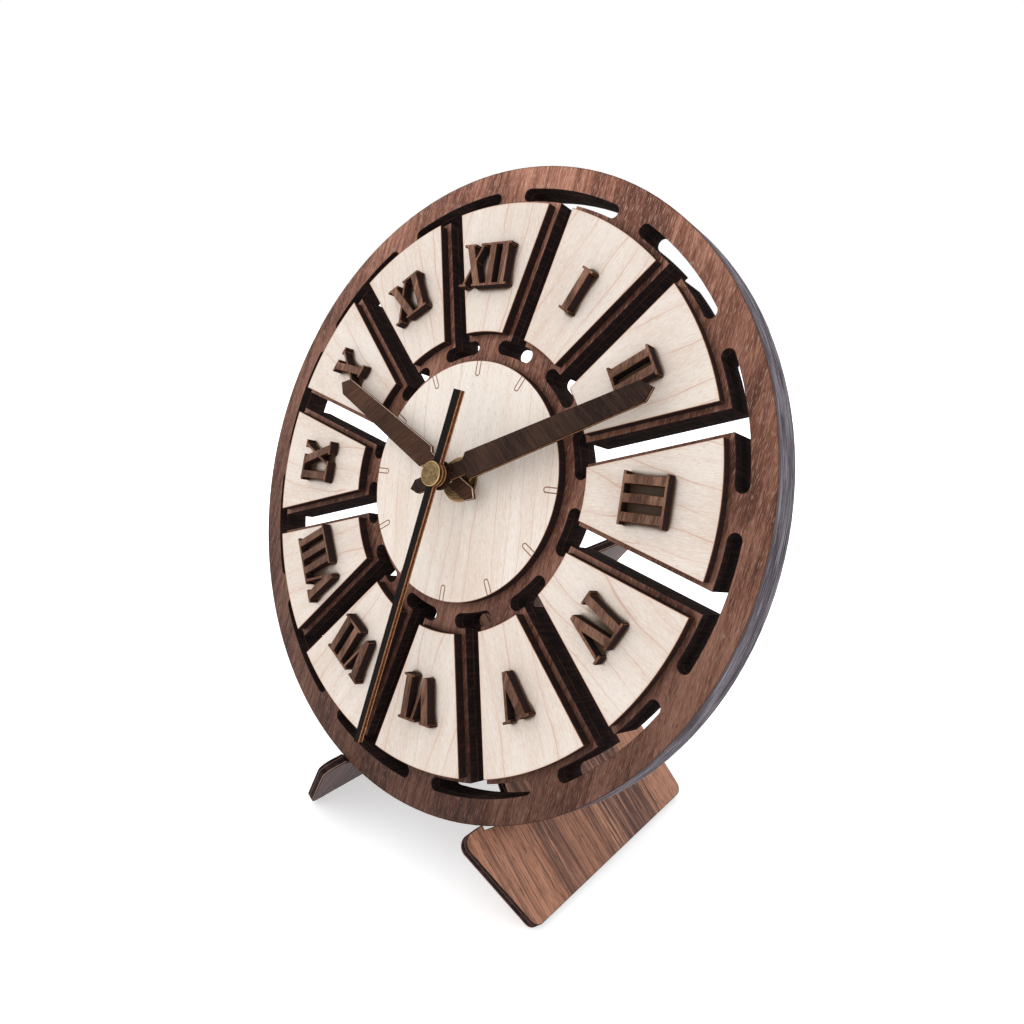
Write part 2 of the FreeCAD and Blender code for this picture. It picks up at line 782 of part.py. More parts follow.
def movement_cover():
    plate = box(-case_inside, case_inside, partition_top, case_inside, case_back, case_inside_back)
    plate = plate.common(case_room(case_back, case_inside_back))
    boss_top = case_inside_back + boss_height
    boss = cylinder(arbor_radius + boss_wall, case_inside_back, boss_top)
    intermediate_post = cylinder(post_radius, case_inside_back, seconds_wheel_top + post_end, *intermediate_place)
    rotor_post = cylinder(rotor_post_radius, case_inside_back, intermediate_wheel_top + post_end, *rotor_place)
    solid = plate.fuse([boss, intermediate_post, rotor_post]).removeSplitter()
    pivot_hole = cylinder(arbor_radius + running_clearance, case_inside_back, boss_top)
    shaft_hole = cylinder(knob_shaft_radius + running_clearance, case_back, case_inside_back, *knob_place)
    return solid.cut([pivot_hole, shaft_hole])


# motor: stator plate round the rotor, closed by the core of the coil

core_y = case_inside - coil_gap - coil_radius
stator_high = magnet_low + magnet_thickness / 2 + stator_thickness / 2
stator_low = stator_high - stator_thickness
stator_left = rotor_place[0] - magnet_radius - stator_gap - stator_wall
stator_right = case_inside - stator_side_gap
coil_middle = (stator_high + stator_low) / 2


def stator():
    y = rotor_place[1]
    half = magnet_radius + stator_gap + stator_edge
    base = box(stator_left, stator_right, y - half, y + half, stator_low, stator_high)
    top = core_y + core_width / 2
    arms = [box(stator_left, stator_left + core_width, y, top, stator_low, stator_high),
            box(stator_right - core_width, stator_right, y, top, stator_low, stator_high),
            box(stator_left, stator_right, top - core_width, top, stator_low, stator_high)]
    solid = base.fuse(arms).removeSplitter()
    return solid.cut(cylinder(magnet_radius + stator_gap, stator_low, stator_high, rotor_place[0], y))


def along_core(radius, start, end):
    return Part.makeCylinder(radius, end - start, point(start, core_y, coil_middle), point(1, 0, 0))


coil_start = stator_left + core_width
coil_end = stator_right - core_width


def core_hole():
    top = core_y + core_width / 2
    return box(coil_start, coil_end, top - core_width, top, stator_low, stator_high)


def coil_bobbin():
    sleeve = along_core(core_width / 2 + sleeve_wall, coil_start, coil_end)
    left = along_core(coil_radius, coil_start, coil_start + coil_flange)
    right = along_core(coil_radius, coil_end - coil_flange, coil_end)
    return sleeve.fuse([left, right]).removeSplitter().cut(core_hole())


def coil_winding():
    winding = along_core(coil_radius - coil_step, coil_start + coil_flange, coil_end - coil_flange)
    return winding.cut(along_core(core_width / 2 + sleeve_wall, coil_start, coil_end))


# circuit board in the upper left corner with its crystal

sheet_top = seconds_wheel_low - layer_gap
sheet_low = sheet_top - board_sheet
sheet_left = -case_inside + board_gap
sheet_right = stator_left - board_side_gap
sheet_bottom = third_place[1] + third_wheel_teeth * second_pinion_module / 2 + board_side_gap
sheet_high = case_inside - board_gap


def circuit_board():
    sheet = box(sheet_left, sheet_right, sheet_bottom, sheet_high, sheet_low, sheet_top)
    lug = cylinder(board_lug_radius, sheet_low, sheet_top, sheet_left + board_lug_inset, sheet_bottom + board_lug_inset)
    foot_low = sheet_high - board_foot
    left_foot = box(sheet_left, sheet_left + board_foot, foot_low, sheet_high, case_inside_back, sheet_low)
    right_foot = box(sheet_right - board_foot, sheet_right, foot_low, sheet_high, case_inside_back, sheet_low)
    return sheet.fuse([lug, left_foot, right_foot]).removeSplitter()


def crystal():
    start = point(sheet_left + crystal_inset, sheet_bottom + crystal_rise, sheet_low - crystal_radius)
    return Part.makeCylinder(crystal_radius, crystal_length, start, point(1, 0, 0))


# battery and its contacts

battery_z = (case_inside_front + case_back) / 2 + battery_clearance
battery_start = -case_inside + contact_room
contact_half = battery_radius - contact_inset


def battery():
    body = Part.makeCylinder(battery_radius, battery_length, point(battery_start, battery_y, battery_z), point(1, 0, 0))
    cap = Part.makeCylinder(battery_cap_radius, battery_cap_length,
                            point(battery_start + battery_length, battery_y, battery_z), point(1, 0, 0))
    return body.fuse(cap).removeSplitter()


def contact_leaf(x):
    return box(x, x + contact_thickness, battery_y - contact_half, battery_y + contact_half,
               battery_z - contact_half, battery_z + contact_half)


def contact_positive():
    x = battery_start + battery_length + battery_cap_length
    top = battery_z + contact_half
    stay = box(x, case_inside, battery_y - stay_half_width, battery_y + stay_half_width, top - stay_height, top)
    return contact_leaf(x).fuse(stay).removeSplitter()


def contact_negative():
    # the leaf and the cone shape of its spring
    x = -case_inside + contact_thickness
    spring = Part.makeCone(spring_base_radius, spring_tip_radius, battery_start - x,
                           point(x, battery_y, battery_z), point(1, 0, 0))
    return contact_leaf(-case_inside).fuse(spring).removeSplitter()


# put the pieces in place and write them

os.makedirs("parts", exist_ok=True)

right_board = board(True)
left_board = board(False).mirror(origin, point(1, 0, 0))
foot_span = right_board.BoundBox
centre_shift = -(foot_span.YMin + foot_span.YMax) / 2

tilt = FreeCAD.Placement(point(0, centre_shift, dial_height), FreeCAD.Rotation(point(1, 0, 0), 90 - lean_deg))
turned = FreeCAD.Placement(origin, FreeCAD.Rotation(up, dial_turn_deg))
seat = tilt.multiply(turned)


def write(name, shape):
    shape.exportStep("parts/" + name + ".step")
    print(name, len(shape.Solids), round(shape.Volume, 2), shape.isValid())


def write_on_dial(name, shape):
    placed = shape.copy()
    placed.Placement = seat.multiply(placed.Placement)
    write(name, placed)


for name, shape in (("stand_board_right", right_board), ("stand_board_left", left_board)):
    shape.translate(point(0, centre_shift, 0))
    write(name, shape)

front = slotted_layer(front_layer_back, body_front)
write_on_dial("front_layer", front.cut(cylinder(bush_hole, front_layer_back, body_front)))
write_on_dial("middle_layer", pocketed_layer(middle_layer_back, front_layer_back))
write_on_dial("back_layer", pocketed_layer(body_back, middle_layer_back))
write_on_dial("centre_disc", centre_disc())

for hour, (spelling, shift) in enumerate(zip(spellings, glued_off), start=1):
    label = "{:02d}".format(hour)
    write_on_dial("tile_" + label, clockwise(tile(), hour_step * hour))
    write_on_dial("numeral_" + label, clockwise(numeral(spelling, shift), hour_step * hour))

hour_hand = pointed_hand(hour_hand_reach, hour_hand_tail, hour_hand_neck_end, hour_hand_root_half_width,
                         hour_hand_tip_half_width, hour_hand_bottom, hour_tube_radius)
minute_hand = pointed_hand(minute_hand_reach, minute_hand_tail, minute_hand_neck_end, minute_hand_root_half_width,
                           minute_hand_tip_half_width, minute_hand_bottom, minute_tube_radius)
minute_hand_top = minute_hand_bottom + hand_thickness
write_on_dial("hour_hand", clockwise(hour_hand, hour_hand_clock_deg))
write_on_dial("minute_hand", clockwise(minute_hand, minute_hand_clock_deg))
write_on_dial("minute_collar", tube(collar_radius, minute_tube_radius, minute_hand_top,
                                    minute_hand_top + collar_thickness))
write_on_dial("second_hand", clockwise(second_hand(), second_hand_clock_deg))
write_on_dial("hand_cap", hand_cap())

write_on_dial("dial_washer", tube(washer_radius, bush_radius + thread_clearance, 0, washer_thickness))
write_on_dial("dial_nut", hexagon_nut())
write_on_dial("gasket", tube(gasket_radius, bush_hole, case_front, front_layer_back))

write_on_dial("movement_case", movement_case())
write_on_dial("movement_cover", movement_cover())
write_on_dial("hour_wheel", hour_wheel())
write_on_dial("minute_wheel", minute_wheel())
write_on_dial("clutch_wheel", clutch_wheel())
write_on_dial("seconds_wheel", seconds_wheel())
write_on_dial("third_wheel", third_wheel())
write_on_dial("intermediate_wheel", intermediate_wheel())
write_on_dial("rotor", rotor())
write_on_dial("motion_wheel", motion_wheel())
write_on_dial("setting_knob", setting_knob())
write_on_dial("stator", stator())
write_on_dial("coil_bobbin", coil_bobbin())
write_on_dial("coil_winding", coil_winding())
write_on_dial("circuit_board", circuit_board())
write_on_dial("crystal", crystal())
write_on_dial("battery", battery())
write_on_dial("contact_positive", contact_positive())
write_on_dial("contact_negative", contact_negative())

print("shift back", round(centre_shift, 3), "wheels at", third_place, intermediate_place, rotor_place,
      motion_place, knob_place)
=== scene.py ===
import bmesh
import bpy
import json
import math
import numpy as np
from mathutils import Matrix, Vector


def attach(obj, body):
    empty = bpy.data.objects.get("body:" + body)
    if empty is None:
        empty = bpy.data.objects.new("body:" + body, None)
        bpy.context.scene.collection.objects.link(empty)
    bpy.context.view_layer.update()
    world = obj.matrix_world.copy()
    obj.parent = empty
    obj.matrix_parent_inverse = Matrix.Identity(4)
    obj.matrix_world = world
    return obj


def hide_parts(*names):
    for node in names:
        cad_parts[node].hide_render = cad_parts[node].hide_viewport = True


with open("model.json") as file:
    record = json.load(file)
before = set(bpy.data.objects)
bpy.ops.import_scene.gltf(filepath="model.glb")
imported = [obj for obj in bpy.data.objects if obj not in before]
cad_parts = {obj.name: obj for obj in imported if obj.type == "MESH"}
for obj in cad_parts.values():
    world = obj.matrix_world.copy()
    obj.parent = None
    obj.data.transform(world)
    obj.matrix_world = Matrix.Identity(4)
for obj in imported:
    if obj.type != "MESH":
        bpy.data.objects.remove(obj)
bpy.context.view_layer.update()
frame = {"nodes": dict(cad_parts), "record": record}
nodes = frame["nodes"]
bodyOf = {name: body for body, names in frame["record"]["behaviour"]["bodies"].items() for name in names}
slotOf = {part["node"]: part["material_slot"] for part in frame["record"]["subparts"]}
print("frame loaded:", len(nodes), "nodes")

# where the dial sits: its centre, how far it leans back and how far it is turned in the notches
dial = {"centre": (0.0, -0.011318, 0.1448), "leanDeg": 17.9, "turnDeg": 2.5, "width": 250.0, "radius": 125.0}
dialTurn = (Matrix.Rotation(math.radians(90 - dial["leanDeg"]), 3, "X") @
            Matrix.Rotation(math.radians(dial["turnDeg"]), 3, "Z"))
dialAxes = np.array(dialTurn)
dialNormal = dialAxes[:, 2]
dialCentre = np.array(dial["centre"])
millimetre = 0.001


def srgb(red, green, blue):
    # screen values 0 to 255 as the linear colour the shaders want
    values = [channel / 255 for channel in (red, green, blue)]
    linear = [v / 12.92 if v <= 0.04045 else ((v + 0.055) / 1.055) ** 2.4 for v in values]
    return (linear[0], linear[1], linear[2], 1.0)


def newObject(name, data):
    item = bpy.data.objects.new(name, data)
    bpy.context.collection.objects.link(item)
    return item


# camera and lamps

camera = {
    "place": (0.21559, -0.226045, 0.210524),
    "right": (0.80827254, 0.58879359, 0.00419733),
    "up": (-0.13145057, 0.17349238, 0.97602313),
    "back": (0.57394795, -0.78944443, 0.21762638),
    "lens": 28.338, "sensor": 36, "shift": (-0.07274, -0.02797), "nearest": 0.01,
}
cameraData = bpy.data.cameras.new("camera")
cameraData.lens = camera["lens"]
cameraData.sensor_width = camera["sensor"]
cameraData.sensor_fit = "HORIZONTAL"
cameraData.shift_x, cameraData.shift_y = camera["shift"]
cameraData.clip_start = camera["nearest"]
cameraObject = newObject("camera", cameraData)
cameraAxes = Matrix((camera["right"], camera["up"], camera["back"])).transposed()
cameraObject.matrix_world = Matrix.Translation(camera["place"]) @ cameraAxes.to_4x4()
bpy.context.scene.camera = cameraObject
bpy.context.scene.view_settings.view_transform = "Standard"

lamps = {
    "keyLight": {"place": (-0.95, -0.55, 0.75), "size": 2.4, "watts": 6.8},
    "sideLight": {"place": (1.0, 0.4, 0.6), "size": 0.7, "watts": 1.8},
    "fillLight": {"place": (0.5, -0.9, 0.02), "size": 0.7, "watts": 0.8},
}
lampAim = Vector((0, 0, 0.12))
for name, settings in lamps.items():
    lamp = bpy.data.lights.new(name, "AREA")
    lamp.size = settings["size"]
    lamp.energy = settings["watts"]
    item = newObject(name, lamp)
    item.location = settings["place"]
    item.rotation_euler = (lampAim - item.location).to_track_quat("-Z", "Y").to_euler()


class Graph:
    # a small hand for building the nodes of one material or world
    def __init__(self, name, kind="materials"):
        self.owner = getattr(bpy.data, kind).new(name)
        self.owner.use_nodes = True
        self.tree = self.owner.node_tree
        self.tree.nodes.clear()

    def put(self, socket, value):
        if isinstance(value, bpy.types.NodeSocket):
            self.tree.links.new(value, socket)
        else:
            socket.default_value = value

    def add(self, kind, inputs, **settings):
        node = self.tree.nodes.new(kind)
        for key, value in settings.items():
            setattr(node, key, value)
        for key, value in inputs.items():
            self.put(node.inputs[key], value)
        return node

    def calc(self, operation, *values):
        return self.add("ShaderNodeMath", dict(enumerate(values)), operation=operation).outputs[0]

    def plus(self, first, second):
        return self.calc("ADD", first, second)

    def minus(self, first, second):
        return self.calc("SUBTRACT", first, second)

    def times(self, *values):
        product = values[0]
        for value in values[1:]:
            product = self.calc("MULTIPLY", product, value)
        return product

    def step(self, value, low, high):
        # 0 below low, 1 above high, smooth between; low may be the larger one
        return self.add("ShaderNodeMapRange", {"Value": value, "From Min": low, "From Max": high},
                        interpolation_type="SMOOTHSTEP").outputs[0]

    def band(self, value, low, high, soft):
        # 1 between low and high, with soft ends
        return self.times(self.step(value, low - soft, low + soft),
                          self.step(value, high + soft, high - soft))

    def join(self, x, y, z):
        return self.add("ShaderNodeCombineXYZ", {0: x, 1: y, 2: z}).outputs[0]

    def split(self, vector):
        return self.add("ShaderNodeSeparateXYZ", {0: vector}).outputs

    def objectPlace(self):
        return self.add("ShaderNodeTexCoord", {}).outputs["Object"]

    def stretch(self, vector, scale=(1, 1, 1), turnDeg=0.0, offset=(0, 0, 0)):
        return self.add("ShaderNodeMapping", {"Vector": vector, "Scale": scale, "Location": offset,
                                              "Rotation": (0, 0, math.radians(turnDeg))}).outputs[0]

    def noise(self, vector, scale, detail, roughness, distortion=0.0):
        return self.add("ShaderNodeTexNoise", {"Vector": vector, "Scale": scale, "Detail": detail,
                                               "Roughness": roughness, "Distortion": distortion}).outputs[0]

    def grain(self, place, scale, detail=3.0, roughness=0.6, distortion=0.0, offset=(0, 0, 0), turnDeg=0.0):
        # noise with its own number of waves along each axis
        return self.noise(self.stretch(place, scale, turnDeg, offset), 1.0, detail, roughness, distortion)

    def ramp(self, factor, stops):
        node = self.add("ShaderNodeValToRGB", {0: factor})
        elements = node.color_ramp.elements
        while len(elements) < len(stops):
            elements.new(0.5)
        for element, (place, colour) in zip(elements, stops):
            element.position = place
            element.color = colour
        return node.outputs[0]

    def levels(self, factor, stops):
        return self.ramp(factor, [(place, (level, level, level, 1.0)) for place, level in stops])

    def mix(self, factor, first, second, blend="MIX"):
        return self.add("ShaderNodeMix", {0: factor, 6: first, 7: second}, data_type="RGBA",
                        blend_type=blend).outputs[2]

    def stain(self, colour, value, limits, tone, *shares):
        # the colour turns to the tone where value goes from the first limit to the second,
        # as far as the shares let it
        return self.mix(self.times(self.step(value, *limits), *shares), colour, tone)

    def crease(self, reach, rays):
        # 1 in the open, lower where other surfaces stand close by
        node = self.add("ShaderNodeAmbientOcclusion", {"Distance": reach})
        node.samples = rays
        return node.outputs["AO"]

    def seen(self):
        # 1 to the camera and in gloss, 0 to the light that falls on the pieces
        paths = self.add("ShaderNodeLightPath", {})
        return self.calc("MAXIMUM", paths.outputs["Is Camera Ray"], paths.outputs["Is Glossy Ray"])

    def finish(self, colour, roughness, height, depth, gloss=0.2, metallic=0.0):
        shader = self.add("ShaderNodeBsdfPrincipled", {"Base Color": colour, "Roughness": roughness,
                                                       "Specular IOR Level": gloss, "Metallic": metallic})
        bump = self.add("ShaderNodeBump", {"Height": height, "Distance": depth, "Strength": 1.0})
        self.put(shader.inputs["Normal"], bump.outputs[0])
        self.add("ShaderNodeOutputMaterial", {"Surface": shader.outputs[0]})
        return self.owner


# world and floor: white to the eye and in gloss, and only a plain light on the pieces

studio = {
    "white": (1, 1, 1, 1), "worldStrength": 0.93, "floorPaint": (0.8, 0.8, 0.8, 1), "floorSize": 12.0,
    "floorGlow": 0.52, "floorGlowFar": 1.1, "glowFrom": (0.12, 0.5), "shadowPlace": (0.05, 0.02, 0.0),
}

sky = Graph("studio", "worlds")
bpy.context.scene.world = sky.owner
strength = sky.add("ShaderNodeMapRange", {"Value": sky.seen(), "To Min": studio["worldStrength"], "To Max": 1.0})
glow = sky.add("ShaderNodeBackground", {"Color": studio["white"], "Strength": strength.outputs[0]})
sky.add("ShaderNodeOutputWorld", {"Surface": glow.outputs[0]})

paint = Graph("floorPaint")
shifted = paint.stretch(paint.objectPlace(), offset=studio["shadowPlace"])
away = paint.add("ShaderNodeVectorMath", {0: shifted}, operation="LENGTH").outputs["Value"]
far = paint.times(paint.step(away, *studio["glowFrom"]), studio["floorGlowFar"] - studio["floorGlow"])
strength = paint.times(paint.seen(), paint.plus(studio["floorGlow"], far))
matt = paint.add("ShaderNodeBsdfDiffuse", {"Color": studio["floorPaint"]})
glow = paint.add("ShaderNodeEmission", {"Color": studio["white"], "Strength": strength})
both = paint.add("ShaderNodeAddShader", {0: matt.outputs[0], 1: glow.outputs[0]})
paint.add("ShaderNodeOutputMaterial", {"Surface": both.outputs[0]})

half = studio["floorSize"] / 2
floorMesh = bpy.data.meshes.new("floor")
floorCorners = [(-half, -half, 0), (half, -half, 0), (half, half, 0), (-half, half, 0)]
floorMesh.from_pydata(floorCorners, [], [(0, 1, 2, 3)])
floorMesh.materials.append(paint.owner)
newObject("floor", floorMesh)
print("studio ready")


# places inside a material, in millimetres on the dial: x to the right, y to twelve, z out of the face

def dialPlace(graph):
    return graph.add("ShaderNodeMapping", {"Vector": graph.objectPlace(), "Location": dial["centre"],
                                           "Rotation": dialTurn.to_euler(), "Scale": (millimetre,) * 3},
                     vector_type="TEXTURE").outputs[0]


def fromAxis(graph, x, y):
    return graph.calc("SQRT", graph.plus(graph.times(x, x), graph.times(y, y)))


def paintedShade(graph, colour, way, shades):
    # painted shade: the colour darkened from one side of the dial to the other, as the light falls off across it
    share = graph.plus(graph.calc("DIVIDE", way, dial["width"]), 0.5)
    return graph.mix(1.0, colour, graph.levels(share, shades), "MULTIPLY")


figure = {"patchLong": 0.6, "streakLong": 0.05, "pores": (0.57, 0.65), "flecks": (0.58, 0.66),
          "fleckOffset": (31, 17, 5), "fleckRise": 0.5, "fibreRise": 0.5, "poreDrop": 0.6}


def veneer(graph, place, look):
    # place has the grain along its y; look holds the tones from dark to light and the sizes in millimetres
    along = graph.stretch(place, turnDeg=look["tilt"])
    patch = graph.grain(along, (1 / look["patch"], figure["patchLong"] / look["patch"], 0.02), 2.0, 0.5, 0.4)
    streak = graph.grain(along, (1 / look["streak"], figure["streakLong"] / look["streak"], 0.1), 4.0, 0.62, 0.5)
    fibre = graph.grain(along, (1 / look["fibre"], look["fibreLong"] / look["fibre"], 0.5), 2.0)
    dashes = graph.stretch(along, (1 / look["pore"], look["dashLong"] / look["pore"], 0.5), look["dashTilt"])
    pores = graph.noise(dashes, 1.0, 1.0, 0.5)
    flecks = graph.grain(dashes, (1, 1, 1), 1.0, 0.5, offset=figure["fleckOffset"])
    patchShare, streakShare, fibreShare = look["shares"]
    tone = graph.plus(graph.times(patch, patchShare), graph.times(streak, streakShare))
    tone = graph.plus(tone, graph.times(fibre, fibreShare))
    colour = graph.ramp(graph.step(tone, 0.5 - look["spread"], 0.5 + look["spread"]), look["tones"])
    dark = graph.times(graph.step(pores, *figure["pores"]), look["poreDepth"])
    colour = graph.mix(dark, colour, look["poreColour"])
    colour = graph.stain(colour, flecks, figure["flecks"], look["fleckColour"], look["fleckDepth"])
    height = graph.plus(graph.times(fibre, figure["fibreRise"]), graph.times(flecks, figure["fleckRise"]))
    return colour, graph.minus(height, graph.times(dark, figure["poreDrop"]))


walnutLook = {
    "patch": 42.0, "streak": 2.1, "fibre": 0.3, "fibreLong": 0.04, "pore": 0.28, "tilt": 9.0,
    "dashTilt": 0.0, "dashLong": 0.08, "shares": (0.4, 0.34, 0.26), "spread": 0.115,
    "tones": [(0.0, srgb(98, 61, 49)), (0.45, srgb(155, 101, 82)), (1.0, srgb(206, 148, 124))],
    "poreDepth": 0.5, "poreColour": srgb(72, 44, 35), "fleckDepth": 0.55, "fleckColour": srgb(236, 190, 166),
}
mapleLook = {
    "patch": 30.0, "streak": 4.0, "fibre": 0.6, "fibreLong": 0.1, "pore": 0.45, "tilt": 0.0,
    "dashTilt": 12.0, "dashLong": 0.2, "shares": (0.4, 0.3, 0.3), "spread": 0.2,
    "tones": [(0.0, srgb(222, 203, 189)), (0.5, srgb(234, 220, 208)), (1.0, srgb(241, 231, 222))],
    "poreDepth": 0.35, "poreColour": srgb(210, 184, 164), "fleckDepth": 0.4, "fleckColour": srgb(248, 241, 235),
}
burnt = {
    "dark": srgb(45, 36, 37), "brown": srgb(70, 52, 47), "line": srgb(104, 72, 56), "edge": srgb(150, 92, 56),
    "charScale": (0.9, 0.9, 0.12), "char": (0.42, 0.72), "patchScale": (0.12, 0.12, 0.5), "patch": (0.35, 0.6),
    "lineSoft": 0.06, "roughness": 0.95, "depth": 0.00003, "gloss": 0.02,
}


def burntWall(name, lines, seed, brown=burnt["brown"]):
    # laser-cut walls: near black, streaked through the sheet, with thin lighter lines where sheets meet
    graph = Graph(name)
    place = dialPlace(graph)
    z = graph.split(place)[2]
    char = graph.grain(place, burnt["charScale"], offset=(seed, 0, 0))
    colour = graph.stain(burnt["dark"], char, burnt["char"], brown)
    patch = graph.grain(place, burnt["patchScale"], 2.0, 0.5, offset=(0, seed, 0))
    for level, width, strength in lines:
        near = graph.band(z, level - width, level + width, burnt["lineSoft"])
        share = graph.times(near, graph.step(patch, *burnt["patch"]), strength)
        colour = graph.mix(share, colour, burnt["line"])
    return graph.finish(colour, burnt["roughness"], char, burnt["depth"], burnt["gloss"])


# painted shade on the walnut face: darker from the top of the dial to its foot and towards its left and right,
# painted shade in the creases where the sheets step, and a darker line at the very edge of the round
bodyLook = {
    "upward": [(0.0, 0.27), (0.22, 0.40), (0.5, 0.60), (0.78, 0.74), (1.0, 1.0)],
    "across": [(0.0, 0.62), (0.12, 0.78), (0.4, 0.96), (0.65, 0.98), (0.85, 0.9), (1.0, 0.86)],
    "creaseShadeReach": 0.003, "creaseShadeRays": 6, "creaseShade": (0.95, 0.45), "creaseShadeDepth": 0.45, "creaseShadeTone": srgb(48, 31, 24),
    "rimLine": (124.3, 125.0), "rimDepth": 0.55, "rimTone": srgb(66, 44, 38),
    "roughness": 0.55, "polish": -0.12, "depth": 0.00004, "gloss": 0.12,
}


def walnutBody(look):
    graph = Graph("walnutBody")
    place = dialPlace(graph)
    x, y, z = graph.split(place)
    colour, height = veneer(graph, place, walnutLook)
    # painted shade: darker towards the foot of the dial and towards its sides
    colour = paintedShade(graph, colour, y, look["upward"])
    colour = paintedShade(graph, colour, x, look["across"])
    # painted shade in the creases and where the sheets step, from how close other surfaces stand
    near = graph.crease(look["creaseShadeReach"], look["creaseShadeRays"])
    colour = graph.stain(colour, near, look["creaseShade"], look["creaseShadeTone"], look["creaseShadeDepth"])
    colour = graph.stain(colour, fromAxis(graph, x, y), look["rimLine"], look["rimTone"], look["rimDepth"])
    rough = graph.plus(graph.times(height, look["polish"]), look["roughness"])
    return graph.finish(colour, rough, height, look["depth"], look["gloss"])


# each stain of the rim: where it starts and is full, how deep it goes, and its tone
rimLook = {
    "streakScale": (0.07, 1.6, 0.0), "fineScale": (0.3, 4.5, 0.0), "patchScale": (0.035, 0.14, 0.0),
    "tones": [(0.38, srgb(44, 38, 43)), (0.49, srgb(80, 73, 79)), (0.6, srgb(138, 132, 143))],
    "pale": ((0.47, 0.62), 0.4, srgb(150, 144, 154)), "dull": ((0.48, 0.34), 0.5, srgb(66, 60, 68)),
    "scratch": ((0.56, 0.66), 0.5, srgb(48, 42, 48)),
    "seams": (-8.0, -14.0), "seamHalf": 0.12, "seamDepth": 0.5, "seamTone": srgb(52, 46, 52),
    "front": ((-6.2, -5.0), 0.7, srgb(48, 41, 46)), "arris": ((-4.6, -4.3), 1.0, srgb(116, 84, 74)),
    "roughness": 0.65, "depth": 0.0001, "gloss": 0.05,
}


def greyRim(look):
    # the round rim, sanded and grey, streaked along its way round
    graph = Graph("greyRim")
    x, y, z = graph.split(dialPlace(graph))
    ring = graph.join(graph.times(graph.calc("ARCTAN2", x, y), dial["radius"]), z, 0.0)
    streaks = graph.grain(ring, look["streakScale"], 5.0, 0.68, 0.4)
    fine = graph.grain(ring, look["fineScale"], offset=(5, 3, 0))
    patches = graph.grain(ring, look["patchScale"], 3.0, 0.55)
    grey = graph.ramp(streaks, look["tones"])
    for value, key in ((patches, "pale"), (patches, "dull"), (fine, "scratch")):
        limits, deep, tone = look[key]
        grey = graph.stain(grey, value, limits, tone, deep)
    for level in look["seams"]:
        seam = graph.band(z, level - look["seamHalf"], level + look["seamHalf"], look["seamHalf"])
        grey = graph.mix(graph.times(seam, look["seamDepth"]), grey, look["seamTone"])
    for key in ("front", "arris"):
        limits, deep, tone = look[key]
        grey = graph.stain(grey, z, limits, tone, deep)
    return graph.finish(grey, look["roughness"], graph.plus(streaks, fine), look["depth"], look["gloss"])


yearLine = {"wanderScale": (0.03, 0.008, 0.0), "wander": 3.6, "fadeScale": (0.12, 0.018, 0.0), "fade": (0.36, 0.58),
            "core": (0.14, 0.02), "halo": (0.9, 0.1), "haloDepth": 0.14, "tone": srgb(206, 160, 134)}


def mapleFigure(graph, place, colour, spacing, strength, seed):
    # year lines along y: each lies where x / spacing + wander is whole, as the zero of |sin(pi * sum)|
    x = graph.split(place)[0]
    wander = graph.grain(place, yearLine["wanderScale"], 3.0, 0.5, offset=(seed, seed, 0))
    phase = graph.plus(graph.calc("DIVIDE", x, spacing), graph.times(wander, yearLine["wander"]))
    ridge = graph.calc("ABSOLUTE", graph.calc("SINE", graph.times(phase, math.pi)))
    fade = graph.grain(place, yearLine["fadeScale"], 2.0, 0.5, offset=(9, seed, 0))
    core = graph.times(graph.step(ridge, *yearLine["core"]), graph.step(fade, *yearLine["fade"]))
    halo = graph.times(graph.step(ridge, *yearLine["halo"]), yearLine["haloDepth"])
    return graph.mix(graph.times(graph.plus(core, halo), strength), colour, yearLine["tone"])


# the outline of a tile in millimetres, the scorch the laser leaves along it, and painted shade at the feet of the
# numerals and between their strokes
tileLook = {
    "stepDeg": 30, "apart": 41.7, "sideGap": 5.8, "inner": 57.9, "outer": 109.0,
    "lineTurnDeg": 6.0, "lineSpacing": 8.5, "lineDepth": 0.55, "lineSeed": 4.0,
    "toast": (1.3, 0.1), "toastDepth": 0.25, "toastTone": srgb(214, 176, 146), "edge": (0.34, 0.1),
    "shadeReach": 0.0045, "shadeRays": 16, "footShade": (0.9, 0.5), "footShadeDepth": 0.3, "footShadeTone": srgb(176, 146, 116),
    "pocketShade": (0.69, 0.59), "pocketShadeTone": srgb(84, 64, 48), "roughness": 0.5, "depth": 0.00003,
}


def tileMaple(look):
    graph = Graph("tileMaple")
    x, y, z = graph.split(dialPlace(graph))
    # every tile turned upright: across and out along its own centre line
    step = math.radians(look["stepDeg"])
    number = graph.calc("ROUND", graph.calc("DIVIDE", graph.calc("ARCTAN2", x, y), step))
    turn = graph.times(number, step)
    cosine, sine = graph.calc("COSINE", turn), graph.calc("SINE", turn)
    across = graph.minus(graph.times(x, cosine), graph.times(y, sine))
    along = graph.plus(graph.times(x, sine), graph.times(y, cosine))
    local = graph.join(graph.plus(across, graph.times(number, look["apart"])), along, z)
    colour, height = veneer(graph, local, mapleLook)
    colour = mapleFigure(graph, graph.stretch(local, turnDeg=look["lineTurnDeg"]), colour, look["lineSpacing"],
                         look["lineDepth"], look["lineSeed"])
    # distance inward from the outline
    side = graph.minus(graph.times(along, math.sin(step / 2)),
                       graph.times(graph.calc("ABSOLUTE", across), math.cos(step / 2)))
    radius = fromAxis(graph, x, y)
    ends = graph.calc("MINIMUM", graph.minus(radius, look["inner"]), graph.minus(look["outer"], radius))
    inside = graph.calc("MINIMUM", graph.minus(side, look["sideGap"]), ends)
    colour = graph.stain(colour, inside, look["toast"], look["toastTone"], look["toastDepth"])
    colour = graph.stain(colour, inside, look["edge"], burnt["edge"])
    # painted shade: a light tan at the feet of the numerals, dark in the pockets between their strokes
    near = graph.crease(look["shadeReach"], look["shadeRays"])
    colour = graph.stain(colour, near, look["footShade"], look["footShadeTone"], look["footShadeDepth"])
    colour = graph.stain(colour, near, look["pocketShade"], look["pocketShadeTone"])
    return graph.finish(colour, look["roughness"], height, look["depth"])


